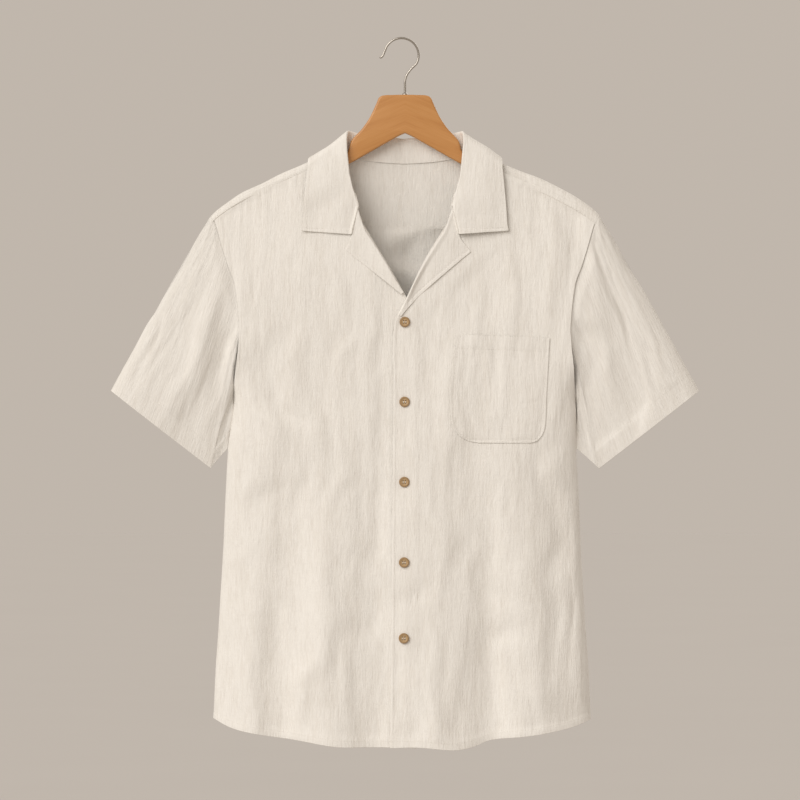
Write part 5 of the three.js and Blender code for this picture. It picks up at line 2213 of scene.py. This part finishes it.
BACK = BackPanel(
    relief=Relief(seed=51, creases=each(
        Crease, (-150, -560, 260, 8, 0.8), (60, -620, 240, 9, -0.9), (120, -500, 220, 7, 0.7))),
    gathers=tuple(Gather(x, 60 + 50 * (k % 3), 3.0 + 0.4 * (k % 2), 1.1 + 0.2 * (k % 2), x / 20)
                  for k, x in enumerate(range(-66, 70, 11))))

TOP_LAPEL = Lapel(
    name="lapel_right", hand=Hand.RIGHT, notch=(68.5, -249.5), relief=Relief(71, strength=0.6),
    sections=each(LapelRow, (60, -209, 82, -267), (50, -238, 74.5, -273.2),
              (40, -254, 65, -281), (25, -278, 41.5, -301), (12, -303, 19, -321),
              (2.5, -324, 6.5, -334), (-3, -336, 0.5, -341), (-8, -345, -5, -348)))

UNDER_LAPEL = Lapel(
    name="lapel_left", hand=Hand.LEFT, notch=(66.8, -249.5), relief=Relief(81, strength=0.6),
    sections=each(LapelRow, (60, -209, 73.5, -265), (50, -238, 66, -271.5),
              (40, -254, 57, -278.5), (25, -278, 37, -294), (10, -304, 15, -311.5),
              (1.5, -318, 4.5, -320)))

SLEEVE_RIGHT = Sleeve(
    name="sleeve_right", hand=Hand.RIGHT, relief=Relief(91), beside=FRONT_RIGHT.relief,
    folds=each(Crease, (224, -420, 230, 11, 3.2, -4), (248, -380, 260, 14, -4.6, -8),
           (280, -350, 150, 4, 0.7, -36), (300, -420, 120, 4, 0.6, -38),
           (322, -400, 130, 4, 0.7, -36)))

SLEEVE_LEFT = Sleeve(
    name="sleeve_left", hand=Hand.LEFT, relief=Relief(101), beside=FRONT_LEFT.relief,
    folds=each(Crease, (-228, -410, 230, 12, 3.0, 4), (-252, -380, 260, 16, -4.6, 6),
           (-290, -370, 180, 5, 0.8, 34), (-318, -410, 140, 4, 0.6, 36),
           (-270, -430, 140, 5, 0.7, 30)))

CLOTHS = (
    Yoke(relief=Relief(61, strength=0.7)), FRONT_RIGHT, FRONT_LEFT, BACK, SLEEVE_RIGHT, SLEEVE_LEFT,
    Collar(relief=Relief(111, strength=0.55)), TOP_LAPEL, UNDER_LAPEL,
    Pocket(under=FRONT_RIGHT.relief, relief=Relief(121, ripples=GAUZE[:3], creases=each(
        Crease, (116, -430, 44, 1.6, 0.6), (157, -456, 40, 1.8, 0.35, 80),
        (88, -392, 40, 3.2, 0.9, 4), (111, -386, 36, 2.4, 0.5, -6),
        (140, -392, 44, 3.4, 0.9, -5), (163, -400, 50, 4.0, 0.6),
        (100, -470, 60, 5.0, 0.5)))))


def main() -> None:
    """Build and dress every part of the shirt and its hanger, then set up the studio."""
    logging.basicConfig(level=logging.INFO, format="%(message)s")
    cotton = CottonFinish().make()
    finishes = {Slot.COTTON: cotton, Slot.BUTTON: ButtonFinish().make(),
                Slot.WOOD: WoodFinish().make(), Slot.STEEL: SteelFinish().make()}
    hardware = Hanger().build() + Hook().build()
    for k in range(len(BUTTON_PLACES)):
        hardware += Button(f"button_{k + 1}").build()
    for part in hardware:
        part.dress(finishes[part.slot])
    sewn = [piece.build() for piece in CLOTHS]
    for piece in sewn:
        piece.dress(cotton)
    Studio().build()


if __name__ == "__main__":
    main()
